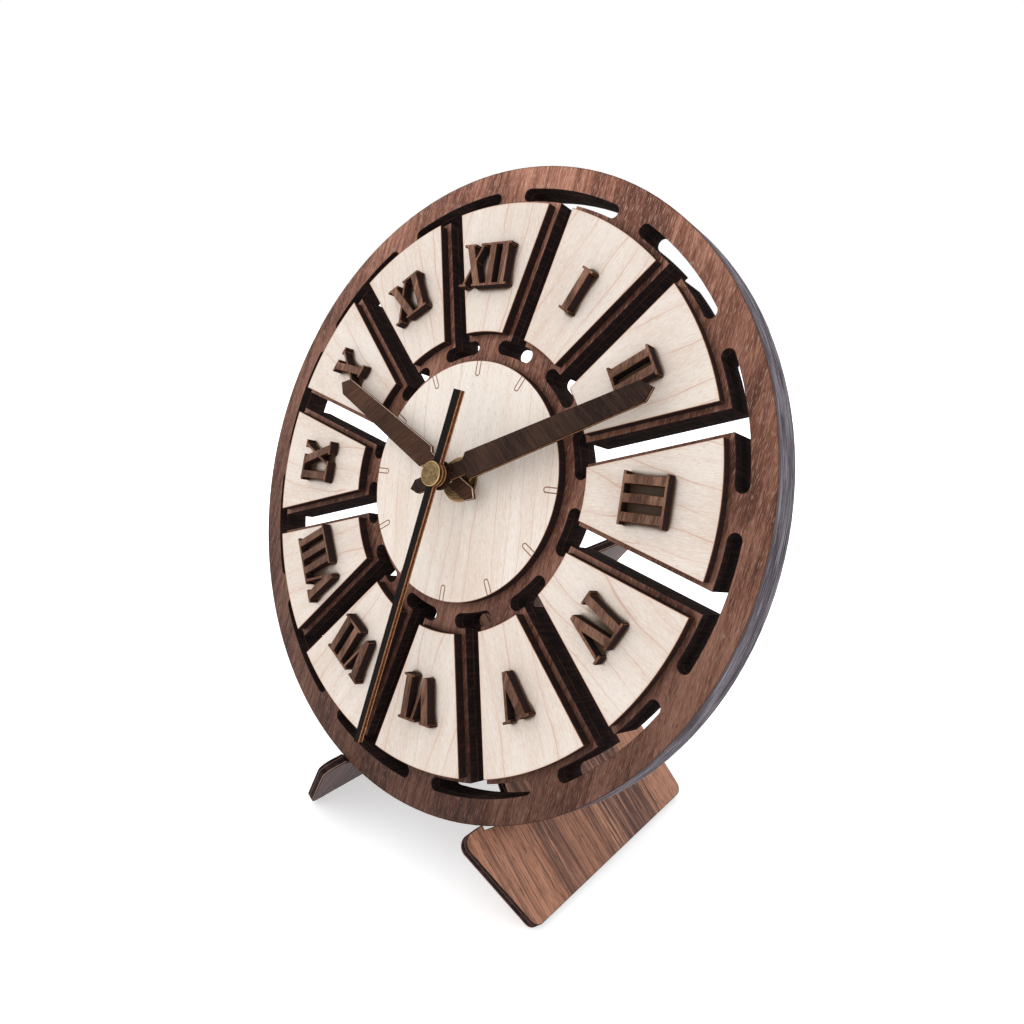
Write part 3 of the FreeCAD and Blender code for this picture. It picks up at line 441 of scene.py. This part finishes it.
discLook = dict(
    mapleLook, streak=5.0, tilt=-3.0, place=(300, 60, 0),
    tones=[(0.0, srgb(229, 211, 196)), (0.5, srgb(241, 228, 216)), (1.0, srgb(247, 239, 230))],
    linePlace=(3, 2, 0), lineSpacing=6.5, lineDepth=0.42, lineSeed=2.0,
    grooveTop=(-0.03, -0.1), grooveFloor=(-0.4, -0.3), grooveTone=srgb(176, 122, 84),
    edge=(46.15, 46.4), roughness=0.5, depth=0.00003)


def discMaple(look):
    graph = Graph("discMaple")
    place = dialPlace(graph)
    x, y, z = graph.split(place)
    colour, height = veneer(graph, graph.stretch(place, offset=look["place"]), look)
    colour = mapleFigure(graph, graph.stretch(place, turnDeg=look["tilt"], offset=look["linePlace"]), colour,
                         look["lineSpacing"], look["lineDepth"], look["lineSeed"])
    # engraved hour marks and the burnt rim
    groove = graph.times(graph.step(z, *look["grooveTop"]), graph.step(z, *look["grooveFloor"]))
    colour = graph.mix(groove, colour, look["grooveTone"])
    colour = graph.stain(colour, fromAxis(graph, x, y), look["edge"], burnt["edge"])
    return graph.finish(colour, look["roughness"], height, look["depth"])


hourLook = dict(
    walnutLook, patch=20.0, streak=1.3, tilt=0.0, spread=0.16, upward=[(0.0, 1.0), (1.0, 1.0)], turnDeg=55.0,
    tones=[(0.0, srgb(52, 33, 24)), (0.5, srgb(73, 48, 36)), (1.0, srgb(92, 63, 47))], gloss=0.06,
    poreColour=srgb(36, 23, 18), poreDepth=0.35, fleckColour=srgb(112, 80, 60), fleckDepth=0.2)
minuteLook = dict(
    hourLook, tones=[(0.0, srgb(32, 21, 18)), (0.5, srgb(48, 33, 28)), (1.0, srgb(70, 50, 40))], turnDeg=-48.0,
    poreColour=srgb(24, 16, 14), fleckColour=srgb(92, 68, 54))
# the numerals also get painted shade: darker towards the foot of the dial
numeralLook = dict(
    walnutLook, patch=16.0, streak=2.2, tilt=0.0, fleckDepth=0.45, fleckColour=srgb(190, 142, 116),
    upward=[(0.0, 0.5), (0.5, 0.6), (1.0, 1.0)], turnDeg=6.0, gloss=0.1,
    tones=[(0.0, srgb(82, 55, 44)), (0.5, srgb(134, 96, 78)), (1.0, srgb(184, 138, 114))])


def cutWalnut(name, look):
    # numerals and hands: veneer on the flat faces, with painted shade from the foot of the dial to its top (none
    # for the hands)
    graph = Graph(name)
    place = dialPlace(graph)
    colour, height = veneer(graph, graph.stretch(place, turnDeg=look["turnDeg"], offset=(13, 7, 0)), look)
    # painted shade by height on the dial
    colour = paintedShade(graph, colour, graph.split(place)[1], look["upward"])
    return graph.finish(colour, 0.55, height, 0.00006, look["gloss"])


# the cut edges of the hands and the collar: the plies from the bottom up, each a top height and two tones
char = (srgb(24, 15, 12), srgb(48, 30, 22))
core = (srgb(226, 200, 172), srgb(248, 234, 214))
rope = (srgb(52, 26, 16), srgb(118, 70, 44))
tan = (srgb(150, 102, 70), srgb(200, 148, 108))
plies = {
    "hour": [(5.75, *rope), (6.3, *core), (6.6, *char)],
    "minute": [(9.1, *char), (9.6, *tan), (10.4, *char)],
    "collar": [(10.7, *char), (11.0, *rope), (11.3, *char), (11.5, *rope), (11.9, *char)],
    "second": [(12.95, *tan), (14.05, *rope), (14.62, *tan), (14.8, *char)],
    "seamSoft": 0.06, "grainScale": (1.1, 1.1, 3.0), "change": (0.4, 0.62),
}


def layeredWall(name, layers):
    graph = Graph(name)
    place = dialPlace(graph)
    z = graph.split(place)[2]
    grain = graph.grain(place, plies["grainScale"], 3.0, 0.7)
    dark, light = layers[0][1:]
    colour = graph.stain(dark, grain, plies["change"], light)
    for (top, dark, light), below in zip(layers[1:], layers):
        tone = graph.stain(dark, grain, plies["change"], light)
        colour = graph.stain(colour, z, (below[0] - plies["seamSoft"], below[0] + plies["seamSoft"]), tone)
    return graph.finish(colour, 0.8, grain, 0.00002, 0.05)


# the stand boards: where the foot of each starts, in millimetres, and how far it leans

board = {"lean": math.radians(41.8), "footX": 61.4, "footY": 34.1 + 11.318, "footLength": 100.0}


def boardPlace(graph, side):
    # millimetres on a stand board: back along the foot, up the board, and through its thickness
    scaled = graph.add("ShaderNodeVectorMath", {0: graph.objectPlace(), "Scale": 1 / millimetre}, operation="SCALE")
    x, y, z = graph.split(scaled.outputs[0])
    cosine, sine = math.cos(board["lean"]), math.sin(board["lean"])
    back = graph.plus(y, board["footY"])
    sideways = graph.minus(graph.times(x, side), board["footX"])
    upward = graph.minus(graph.times(z, cosine), graph.times(sideways, sine))
    through = graph.plus(graph.times(sideways, cosine), graph.times(z, sine))
    return back, upward, through


# broad tones along the foot, how strong the stripes are there, and a multiplier: a warmer tone on the right board,
# painted shade on the left
boardLook = {
    "right": {
        "side": 1, "toneAndShade": (1.06, 0.99, 0.93, 1.0),
        "broad": [(0.0, (168, 122, 100)), (0.17, (160, 114, 92)), (0.21, (92, 64, 56)), (0.26, (150, 108, 90)),
                  (0.40, (142, 100, 82)), (0.47, (108, 76, 64)), (0.51, (186, 138, 112)), (0.55, (104, 74, 66)),
                  (0.66, (98, 70, 64)), (0.76, (126, 92, 80)), (0.83, (176, 130, 108)), (1.0, (170, 126, 106))],
        "stripes": [(0.0, 0.55), (0.2, 0.8), (0.4, 0.6), (0.5, 0.9), (0.78, 1.0), (0.84, 0.3), (1.0, 0.25)],
    },
    "left": {
        # the left board shows its inner face, turned from the light: its darker, bluer multiplier is painted shade
        "side": -1, "toneAndShade": (0.52, 0.5, 0.62, 1.0),
        "broad": [(0.0, (128, 96, 86)), (0.3, (118, 88, 80)), (0.45, (90, 68, 64)), (0.6, (132, 100, 88)),
                  (0.8, (100, 76, 70)), (1.0, (128, 96, 84))],
        "stripes": [(0.0, 0.6), (1.0, 0.8)],
    },
}
boardGrain = {
    "wander": 16.0, "wanderScale": (0.035, 0.01, 0.0), "ripple": 9.0, "rippleScale": (0.4, 0.02, 0.0),
    "fineScale": (1.6, 0.035, 0.2), "wideScale": (0.5, 0.014, 0.1), "poreScale": (3.0, 0.2, 0.2),
    "wideLight": (0.53, 0.62), "wideDark": (0.46, 0.38), "fineDark": (0.53, 0.61), "fineLight": (0.44, 0.36),
    "pores": (0.57, 0.64), "roughness": 0.5, "depth": 0.00014,
}


def boardWalnut(name, look):
    # stripes run up the board and change along its foot
    graph = Graph(name)
    back, upward, through = boardPlace(graph, look["side"])
    place = graph.join(graph.plus(back, 400.0 * look["side"]), upward, through)
    wander = graph.grain(place, boardGrain["wanderScale"], 3.0, 0.5)
    ripple = graph.grain(place, boardGrain["rippleScale"])
    shifted = graph.plus(back, graph.times(graph.minus(wander, 0.5), boardGrain["wander"]))
    shifted = graph.plus(shifted, graph.times(graph.minus(ripple, 0.5), boardGrain["ripple"]))
    share = graph.calc("DIVIDE", shifted, board["footLength"])
    colour = graph.ramp(share, [(stop, srgb(*tone)) for stop, tone in look["broad"]])
    strong = graph.levels(share, look["stripes"])
    fine = graph.grain(place, boardGrain["fineScale"], 4.0, 0.65, 0.25)
    wide = graph.grain(place, boardGrain["wideScale"], 3.0, 0.6, 0.4)
    pores = graph.grain(place, boardGrain["poreScale"], 2.0, 0.5, offset=(7, 3, 0))
    colour = graph.stain(colour, wide, boardGrain["wideLight"], srgb(190, 142, 116), strong, 0.55)
    colour = graph.stain(colour, wide, boardGrain["wideDark"], srgb(72, 48, 42), strong, 0.7)
    colour = graph.stain(colour, fine, boardGrain["fineDark"], srgb(54, 35, 32), strong, 0.85)
    colour = graph.stain(colour, fine, boardGrain["fineLight"], srgb(200, 154, 130), 0.5)
    colour = graph.stain(colour, pores, boardGrain["pores"], srgb(66, 44, 38), 0.65)
    # painted shade on the left board, a warmer tone on the right
    colour = graph.mix(1.0, colour, look["toneAndShade"], "MULTIPLY")
    height = graph.plus(graph.times(fine, -1.0), graph.times(pores, -0.4))
    return graph.finish(colour, boardGrain["roughness"], height, boardGrain["depth"])


# each line is low and high through the board's thickness, in millimetres, and a strength
boardEdge = {"dark": srgb(30, 22, 23), "brown": srgb(62, 44, 44), "line": srgb(190, 150, 134),
             "lines": [(0.25, 0.6, 0.7), (2.7, 2.9, 0.35)], "soft": 0.12, "char": (0.4, 0.7)}


def boardWall(name, look):
    graph = Graph(name)
    back, upward, through = boardPlace(graph, look["side"])
    grain = graph.grain(graph.join(back, upward, through), (0.5, 0.5, 0.3))
    wall = graph.stain(boardEdge["dark"], grain, boardEdge["char"], boardEdge["brown"])
    for low, high, strength in boardEdge["lines"]:
        line = graph.times(graph.band(through, low, high, boardEdge["soft"]), strength)
        wall = graph.mix(line, wall, boardEdge["line"])
    return graph.finish(wall, 0.85, grain, 0.00005, 0.05)


def mottled(name, first, second, scale, change, roughness):
    # two close tones in small clouds: the black face of the second hand and the broken arrises of the sheets
    graph = Graph(name)
    cloud = graph.grain(dialPlace(graph), (scale,) * 3)
    return graph.finish(graph.stain(first, cloud, change, second), roughness, cloud, 0.00002, 0.05)


def brokenEdge(name, light, dark):
    return mottled(name, light, dark, 0.5, (0.35, 0.65), 0.7)


metalGrain = {"cloudScale": 420.0, "scratchScale": (2600, 300, 2600), "scratchTurnDeg": 25.0, "change": (0.35, 0.7)}


def agedMetal(name, light, dark, roughness, metallic):
    graph = Graph(name)
    place = graph.objectPlace()
    cloud = graph.noise(place, metalGrain["cloudScale"], 4.0, 0.6)
    scratch = graph.grain(place, metalGrain["scratchScale"], 2.0, turnDeg=metalGrain["scratchTurnDeg"])
    colour = graph.stain(light, cloud, metalGrain["change"], dark)
    rough = graph.plus(graph.times(cloud, 0.25), roughness - 0.12)
    height = graph.plus(graph.times(cloud, 0.3), graph.times(scratch, 0.4))
    return graph.finish(colour, rough, height, 0.000005, 0.4, metallic)


# the rim colour, a painted highlight, starts at radius rimFrom, the side colour below height faceFrom
capBrass = {"face": srgb(92, 71, 44), "rim": srgb(186, 156, 106), "side": srgb(88, 66, 38),
            "rimFrom": 4.32, "faceFrom": 15.9, "ringDepth": 0.25}
fixingBrass = {"face": srgb(112, 84, 50), "rim": srgb(160, 124, 76), "side": srgb(70, 50, 28),
               "rimFrom": 8.2, "faceFrom": 0.1, "ringDepth": 0.85}
brassGrain = {"worn": srgb(134, 112, 78), "ring": srgb(70, 52, 32), "ringScale": 2.6, "heightScale": 3.0,
              "cloud": (0.3, 0.7), "rings": (0.48, 0.6), "soft": 0.15}


def brassTurned(name, look):
    # turned on a lathe: fine rings on the flat, a painted highlight on the rim, darker sides
    graph = Graph(name)
    place = dialPlace(graph)
    x, y, z = graph.split(place)
    radius = fromAxis(graph, x, y)
    cloud = graph.grain(place, (0.5, 0.5, 0.5))
    ringPlace = graph.join(graph.times(radius, brassGrain["ringScale"]), 0.0,
                           graph.times(z, brassGrain["heightScale"]))
    rings = graph.noise(ringPlace, 1.0, 2.0, 0.6)
    colour = graph.stain(look["face"], cloud, brassGrain["cloud"], brassGrain["worn"])
    # painted highlight: the lighter rim
    colour = graph.stain(colour, radius, (look["rimFrom"], look["rimFrom"] + brassGrain["soft"]), look["rim"])
    colour = graph.stain(colour, z, (look["faceFrom"], look["faceFrom"] - brassGrain["soft"]), look["side"])
    colour = graph.stain(colour, rings, brassGrain["rings"], brassGrain["ring"], look["ringDepth"])
    rough = graph.plus(graph.times(cloud, 0.2), 0.24)
    return graph.finish(colour, rough, rings, 0.000006, 0.4, 0.85)


moulded = {"grainScale": 3600.0, "cloudScale": 45.0, "change": (0.3, 0.7)}


def plastic(name, colour, second, roughness):
    graph = Graph(name)
    place = graph.objectPlace()
    grain = graph.noise(place, moulded["grainScale"], 2.0, 0.6)
    cloud = graph.noise(place, moulded["cloudScale"], 2.0, 0.5)
    rough = graph.plus(graph.times(grain, 0.15), roughness - 0.07)
    return graph.finish(graph.stain(colour, cloud, moulded["change"], second), rough, grain, 0.00002)


finishes = {
    "walnut_body": walnutBody(bodyLook),
    "maple": tileMaple(tileLook),
    "disc": discMaple(discLook),
    "numeral": cutWalnut("numeralWalnut", numeralLook),
    "hourHand": cutWalnut("hourHandWalnut", hourLook),
    "minuteHand": cutWalnut("minuteHandWalnut", minuteLook),
    "boardRight": boardWalnut("boardRightWalnut", boardLook["right"]),
    "boardLeft": boardWalnut("boardLeftWalnut", boardLook["left"]),
    "black_stain": mottled("blackFace", srgb(19, 15, 15), srgb(29, 24, 24), 1.6, (0.4, 0.7), 0.6),
    "brass_aged": brassTurned("agedBrass", capBrass),
    "fixing": brassTurned("fixingBrass", fixingBrass),
    "rubber_black": plastic("rubberRing", srgb(30, 30, 31), srgb(40, 39, 38), 0.8),
    "case_black": plastic("movementPlastic", srgb(34, 34, 36), srgb(44, 44, 46), 0.55),
    "wheel_white": plastic("wheelPlastic", srgb(226, 224, 214), srgb(236, 235, 228), 0.4),
    "knob_black": plastic("knobPlastic", srgb(30, 30, 31), srgb(38, 38, 40), 0.42),
    "board_green": plastic("circuitSheet", srgb(42, 104, 66), srgb(52, 122, 78), 0.45),
    "steel": agedMetal("plainSteel", srgb(176, 176, 180), srgb(140, 140, 146), 0.36, 1.0),
    "copper_wire": agedMetal("enamelledWire", srgb(196, 118, 74), srgb(160, 88, 52), 0.35, 1.0),
    "battery_sleeve": agedMetal("batterySleeve", srgb(120, 124, 132), srgb(96, 100, 108), 0.4, 0.6),
    "contact_metal": agedMetal("springContact", srgb(206, 204, 196), srgb(176, 174, 168), 0.3, 1.0),
    "collar": layeredWall("collarEdge", plies["collar"]),
    "hourWall": layeredWall("hourHandEdge", plies["hour"]),
    "minuteWall": layeredWall("minuteHandEdge", plies["minute"]),
    "secondWall": layeredWall("secondHandEdge", plies["second"]),
    "slotWall": burntWall("burntSlots", [(-8.0, 0.35, 0.75), (-14.0, 0.25, 0.5)], 3.0),
    "tileWall": burntWall("burntTiles", [(-0.25, 0.14, 0.7), (-3.9, 0.1, 0.5)], 11.0, srgb(66, 42, 33)),
    "numeralWall": burntWall("burntNumerals", [(3.8, 0.14, 0.5), (0.2, 0.1, 0.3)], 23.0, srgb(54, 37, 32)),
    "rim": greyRim(rimLook),
    "boardRightWall": boardWall("boardRightEdge", boardLook["right"]),
    "boardLeftWall": boardWall("boardLeftEdge", boardLook["left"]),
    # tan arris: laser scorch on the maple, partly a painted highlight on the walnut numerals
    "scorchAndHighlightEdge": brokenEdge("scorchAndHighlightEdge", srgb(138, 88, 56), srgb(84, 52, 36)),
    "darkEdge": brokenEdge("darkEdge", srgb(76, 51, 42), srgb(42, 29, 25)),
    "blackEdge": brokenEdge("blackEdge", srgb(36, 27, 24), srgb(20, 16, 15)),
}
ownFinish = {"centre_disc": "disc", "hour_hand": "hourHand", "minute_hand": "minuteHand",
             "minute_collar": "minuteHand", "stand_board_right": "boardRight", "stand_board_left": "boardLeft"}
ownFinish.update({"numeral_%02d" % hour: "numeral" for hour in range(1, 13)})
for name, slotName in slotOf.items():
    nodes[name].data.materials.clear()
    nodes[name].data.materials.append(finishes[ownFinish.get(name, slotName)])
print("finishes on", len(nodes), "nodes")


# cut pieces: the flat parts and the movement's mouldings, each with a face, a wall and a broken arris
# whose width is in metres

sheetLooks = {
    "tile": {"wall": "tileWall", "edge": "scorchAndHighlightEdge", "width": 0.00012},
    # on the walnut numerals the tan arris is partly a painted highlight
    "numeral": {"wall": "numeralWall", "edge": "scorchAndHighlightEdge", "width": 0.00013},
    "layer": {"wall": "slotWall", "edge": "darkEdge", "width": 0.0001, "rim": "rim", "bevelFromDeg": 50},
    "disc": {"wall": "tileWall", "edge": "scorchAndHighlightEdge", "width": 0.00006, "wallFrom": 0.046},
    "boardRight": {"wall": "boardRightWall", "edge": "darkEdge", "width": 0.00025, "side": 1},
    "boardLeft": {"wall": "boardLeftWall", "edge": "darkEdge", "width": 0.00025, "side": -1},
    "hour": {"wall": "hourWall", "edge": "darkEdge", "width": 0.00012},
    "minute": {"wall": "minuteWall", "edge": "darkEdge", "width": 0.00012},
    "second": {"wall": "secondWall", "edge": "blackEdge", "width": 0.00008},
    "case": {"wall": "case_black", "edge": "case_black", "width": 0.00035, "bevelFromDeg": 50},
    "knob": {"wall": "knob_black", "edge": "knob_black", "width": 0.0002, "bevelFromDeg": 50},
}
faceSlot, wallSlot, edgeSlot, rimSlot = 0, 1, 2, 3
cutting = {"sameSpot": 2e-6, "sameFlatDeg": 0.5, "wallBelow": 0.6, "rimFrom": 0.1235, "sharpDeg": 30,
           "bevelFromDeg": 30, "segments": 2}


def softened(name, look):
    # the cut sheet again with its arrises broken: a merged copy of the solid, flat faces joined, then a bevel
    mesh = nodes[name].data.copy()
    work = bmesh.new()
    work.from_mesh(mesh)
    bmesh.ops.remove_doubles(work, verts=work.verts, dist=cutting["sameSpot"])
    bmesh.ops.dissolve_limit(work, angle_limit=math.radians(cutting["sameFlatDeg"]), verts=work.verts,
                             edges=work.edges)
    work.to_mesh(mesh)
    work.free()
    mesh.materials.append(finishes[look["wall"]])
    mesh.materials.append(finishes[look["edge"]])
    facing = dialNormal
    if "side" in look:
        facing = np.array((look["side"] * math.cos(board["lean"]), 0, math.sin(board["lean"])))
    normals = np.empty(len(mesh.polygons) * 3)
    middles = np.empty(len(mesh.polygons) * 3)
    mesh.polygons.foreach_get("normal", normals)
    mesh.polygons.foreach_get("center", middles)
    kinds = np.where(np.abs(normals.reshape(-1, 3) @ facing) < cutting["wallBelow"], wallSlot, faceSlot)
    arm = middles.reshape(-1, 3) - dialCentre
    reach = np.linalg.norm(arm - np.outer(arm @ dialNormal, dialNormal), axis=1)
    kinds[reach < look.get("wallFrom", 0.0)] = faceSlot
    if "rim" in look:
        mesh.materials.append(finishes[look["rim"]])
        kinds[(kinds == wallSlot) & (reach > cutting["rimFrom"])] = rimSlot
    mesh.polygons.foreach_set("material_index", kinds.astype(np.int32))
    mesh.shade_smooth()
    mesh.set_sharp_from_angle(angle=math.radians(cutting["sharpDeg"]))
    item = newObject("cut_" + name, mesh)
    bevel = item.modifiers.new("arris", "BEVEL")
    bevel.width = look["width"]
    bevel.segments = cutting["segments"]
    bevel.limit_method = "ANGLE"
    bevel.angle_limit = math.radians(look.get("bevelFromDeg", cutting["bevelFromDeg"]))
    bevel.use_clamp_overlap = False
    bevel.harden_normals = True
    bevel.material = edgeSlot
    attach(item, bodyOf[name])
    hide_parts(name)


sheets = [("front_layer", "layer"), ("middle_layer", "layer"), ("back_layer", "layer"), ("centre_disc", "disc"),
          ("stand_board_right", "boardRight"), ("stand_board_left", "boardLeft"),
          ("hour_hand", "hour"), ("minute_hand", "minute"), ("second_hand", "second"),
          ("movement_case", "case"), ("movement_cover", "case"), ("setting_knob", "knob")]
for hour in range(1, 13):
    sheets += [("tile_%02d" % hour, "tile"), ("numeral_%02d" % hour, "numeral")]
for name, kind in sheets:
    softened(name, sheetLooks[kind])
print("sheet pieces cut:", len(sheets))


# turned pieces: a profile of radius and height, in millimetres, carried round the dial's axis

lathe = {"cornerSteps": 3, "cornerMost": 0.45, "sameSpot": 1e-7, "sharpDeg": 35}


def rounded(corners, cut):
    # each corner is cut back along both of its sides and bridged by the quadratic curve
    # (1 - t)^2 * start + 2 * t * (1 - t) * corner + t^2 * end
    here = np.array(corners, float)
    before = np.roll(here, 1, 0) - here
    after = np.roll(here, -1, 0) - here
    cuts = np.broadcast_to(np.asarray(cut, float), len(here))
    longBefore = np.linalg.norm(before, axis=1)
    longAfter = np.linalg.norm(after, axis=1)
    start = here + before * (np.minimum(cuts, longBefore * lathe["cornerMost"]) / longBefore)[:, None]
    end = here + after * (np.minimum(cuts, longAfter * lathe["cornerMost"]) / longAfter)[:, None]
    t = np.linspace(0, 1, lathe["cornerSteps"] + 1)[None, :, None]
    curve = (1 - t) ** 2 * start[:, None] + 2 * t * (1 - t) * here[:, None] + t ** 2 * end[:, None]
    return curve.reshape(-1, 2)


def turnedPiece(name, node, radius, height, count, closed, finish):
    # x = radius * sin(angle), y = radius * cos(angle), z = height, for every angle and every profile point
    angle = np.arange(count)[:, None] * (2 * math.pi / count)
    radius = np.broadcast_to(radius, (count, radius.shape[-1]))
    points = np.stack([radius * np.sin(angle), radius * np.cos(angle),
                       np.broadcast_to(height, radius.shape)], axis=-1).reshape(-1, 3)
    placed = points * millimetre @ dialAxes.T + dialCentre
    columns = radius.shape[1]
    row = np.arange(count)[:, None]
    column = np.arange(columns if closed else columns - 1)[None, :]
    nextRow, nextColumn = (row + 1) % count, (column + 1) % columns
    faces = np.stack([row * columns + column, nextRow * columns + column,
                      nextRow * columns + nextColumn, row * columns + nextColumn], axis=-1).reshape(-1, 4)
    mesh = bpy.data.meshes.new(name)
    mesh.from_pydata(placed.tolist(), [], faces.tolist())
    work = bmesh.new()
    work.from_mesh(mesh)
    bmesh.ops.remove_doubles(work, verts=work.verts, dist=lathe["sameSpot"])
    bmesh.ops.recalc_face_normals(work, faces=work.faces)
    work.to_mesh(mesh)
    work.free()
    mesh.materials.append(finishes[finish])
    mesh.shade_smooth()
    mesh.set_sharp_from_angle(angle=math.radians(lathe["sharpDeg"]))
    item = newObject(name, mesh)
    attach(item, bodyOf[node])
    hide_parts(node)


cap = {"radius": 4.7, "low": 14.8, "high": 16.2, "rim": 0.7, "rimSlope": 0.12, "recess": 0.15, "edge": 0.22,
       "socket": 0.8, "bore": 0.75, "groove": 0.3, "grooveLow": 15.15, "grooveHigh": 15.4, "round": 0.05,
       "count": 96}
profile = np.array([
    (0, cap["high"] - cap["recess"]), (cap["radius"] - cap["rim"], cap["high"] - cap["recess"]),
    (cap["radius"] - cap["rim"] + cap["rimSlope"], cap["high"]), (cap["radius"] - cap["edge"], cap["high"]),
    (cap["radius"], cap["high"] - cap["edge"]), (cap["radius"], cap["grooveHigh"]),
    (cap["radius"] - cap["groove"], cap["grooveHigh"]), (cap["radius"] - cap["groove"], cap["grooveLow"]),
    (cap["radius"], cap["grooveLow"]), (cap["radius"], cap["low"]), (cap["bore"], cap["low"]),
    (cap["bore"], cap["low"] + cap["socket"]), (0, cap["low"] + cap["socket"])])
cuts = np.full(len(profile), cap["round"])
cuts[[0, -1]] = 0
capLine = rounded(profile, cuts)
turnedPiece("brass_cap", "hand_cap", capLine[:, 0], capLine[:, 1], cap["count"], False, "brass_aged")

# the grooves are high and low, from the top down
collar = {"radius": 5.5, "bore": 1.95, "low": 10.4, "high": 11.9, "groove": 0.3,
          "grooves": [(11.5, 11.3), (10.95, 10.75)], "round": 0.06, "count": 96}
outer = [(collar["radius"], collar["high"])]
for high, low in collar["grooves"]:
    outer += [(collar["radius"], high), (collar["radius"] - collar["groove"], high),
              (collar["radius"] - collar["groove"], low), (collar["radius"], low)]
collarLine = rounded([(collar["bore"], collar["high"])] + outer +
                     [(collar["radius"], collar["low"]), (collar["bore"], collar["low"])], collar["round"])
turnedPiece("stepped_collar", "minute_collar", collarLine[:, 0], collarLine[:, 1], collar["count"], True, "collar")

washer = {"radius": 8.7, "bore": 4.02, "low": 0.0, "high": 0.6, "round": 0.14, "count": 128}
washerLine = rounded([(washer["bore"], washer["high"]), (washer["radius"], washer["high"]),
                      (washer["radius"], washer["low"]), (washer["bore"], washer["low"])], washer["round"])
turnedPiece("round_washer", "dial_washer", washerLine[:, 0], washerLine[:, 1], washer["count"], True, "fixing")

nut = {"flats": 14.0, "low": 0.6, "high": 2.8, "chamfer": 0.9, "bore": 4.02, "boreChamfer": 0.25, "turnDeg": 12,
       "levels": 12, "gather": 0.6, "count": 180}


def nutSurface():
    # the hexagon's radius is flats / 2 over the cosine of the angle from the middle of the nearest flat,
    # and a cone of corner radius - chamfer at the top, one millimetre wider per millimetre down, cuts its corners
    angle = np.arange(nut["count"])[:, None] * (2 * math.pi / nut["count"])
    clockAngle = math.pi / 2 - angle - math.radians(nut["turnDeg"])
    fromFlat = np.mod(clockAngle, math.pi / 3) - math.pi / 6
    hexagon = nut["flats"] / 2 / np.cos(fromFlat)
    corner = nut["flats"] / 2 / math.cos(math.pi / 6)
    height = nut["low"] + (nut["high"] - nut["low"]) * np.linspace(0, 1, nut["levels"]) ** nut["gather"]
    cone = corner - nut["chamfer"] + (nut["high"] - height)
    side = np.minimum(hexagon, cone[None, :])
    bore = np.full((nut["count"], 1), nut["bore"])
    radius = np.hstack([bore, bore, side, bore + nut["boreChamfer"]])
    return radius, np.concatenate([[nut["high"] - nut["boreChamfer"], nut["low"]], height, [nut["high"]]])


nutRadius, nutHeight = nutSurface()
turnedPiece("hexagon_nut", "dial_nut", nutRadius, nutHeight, nut["count"], True, "fixing")
print("turned pieces ready")
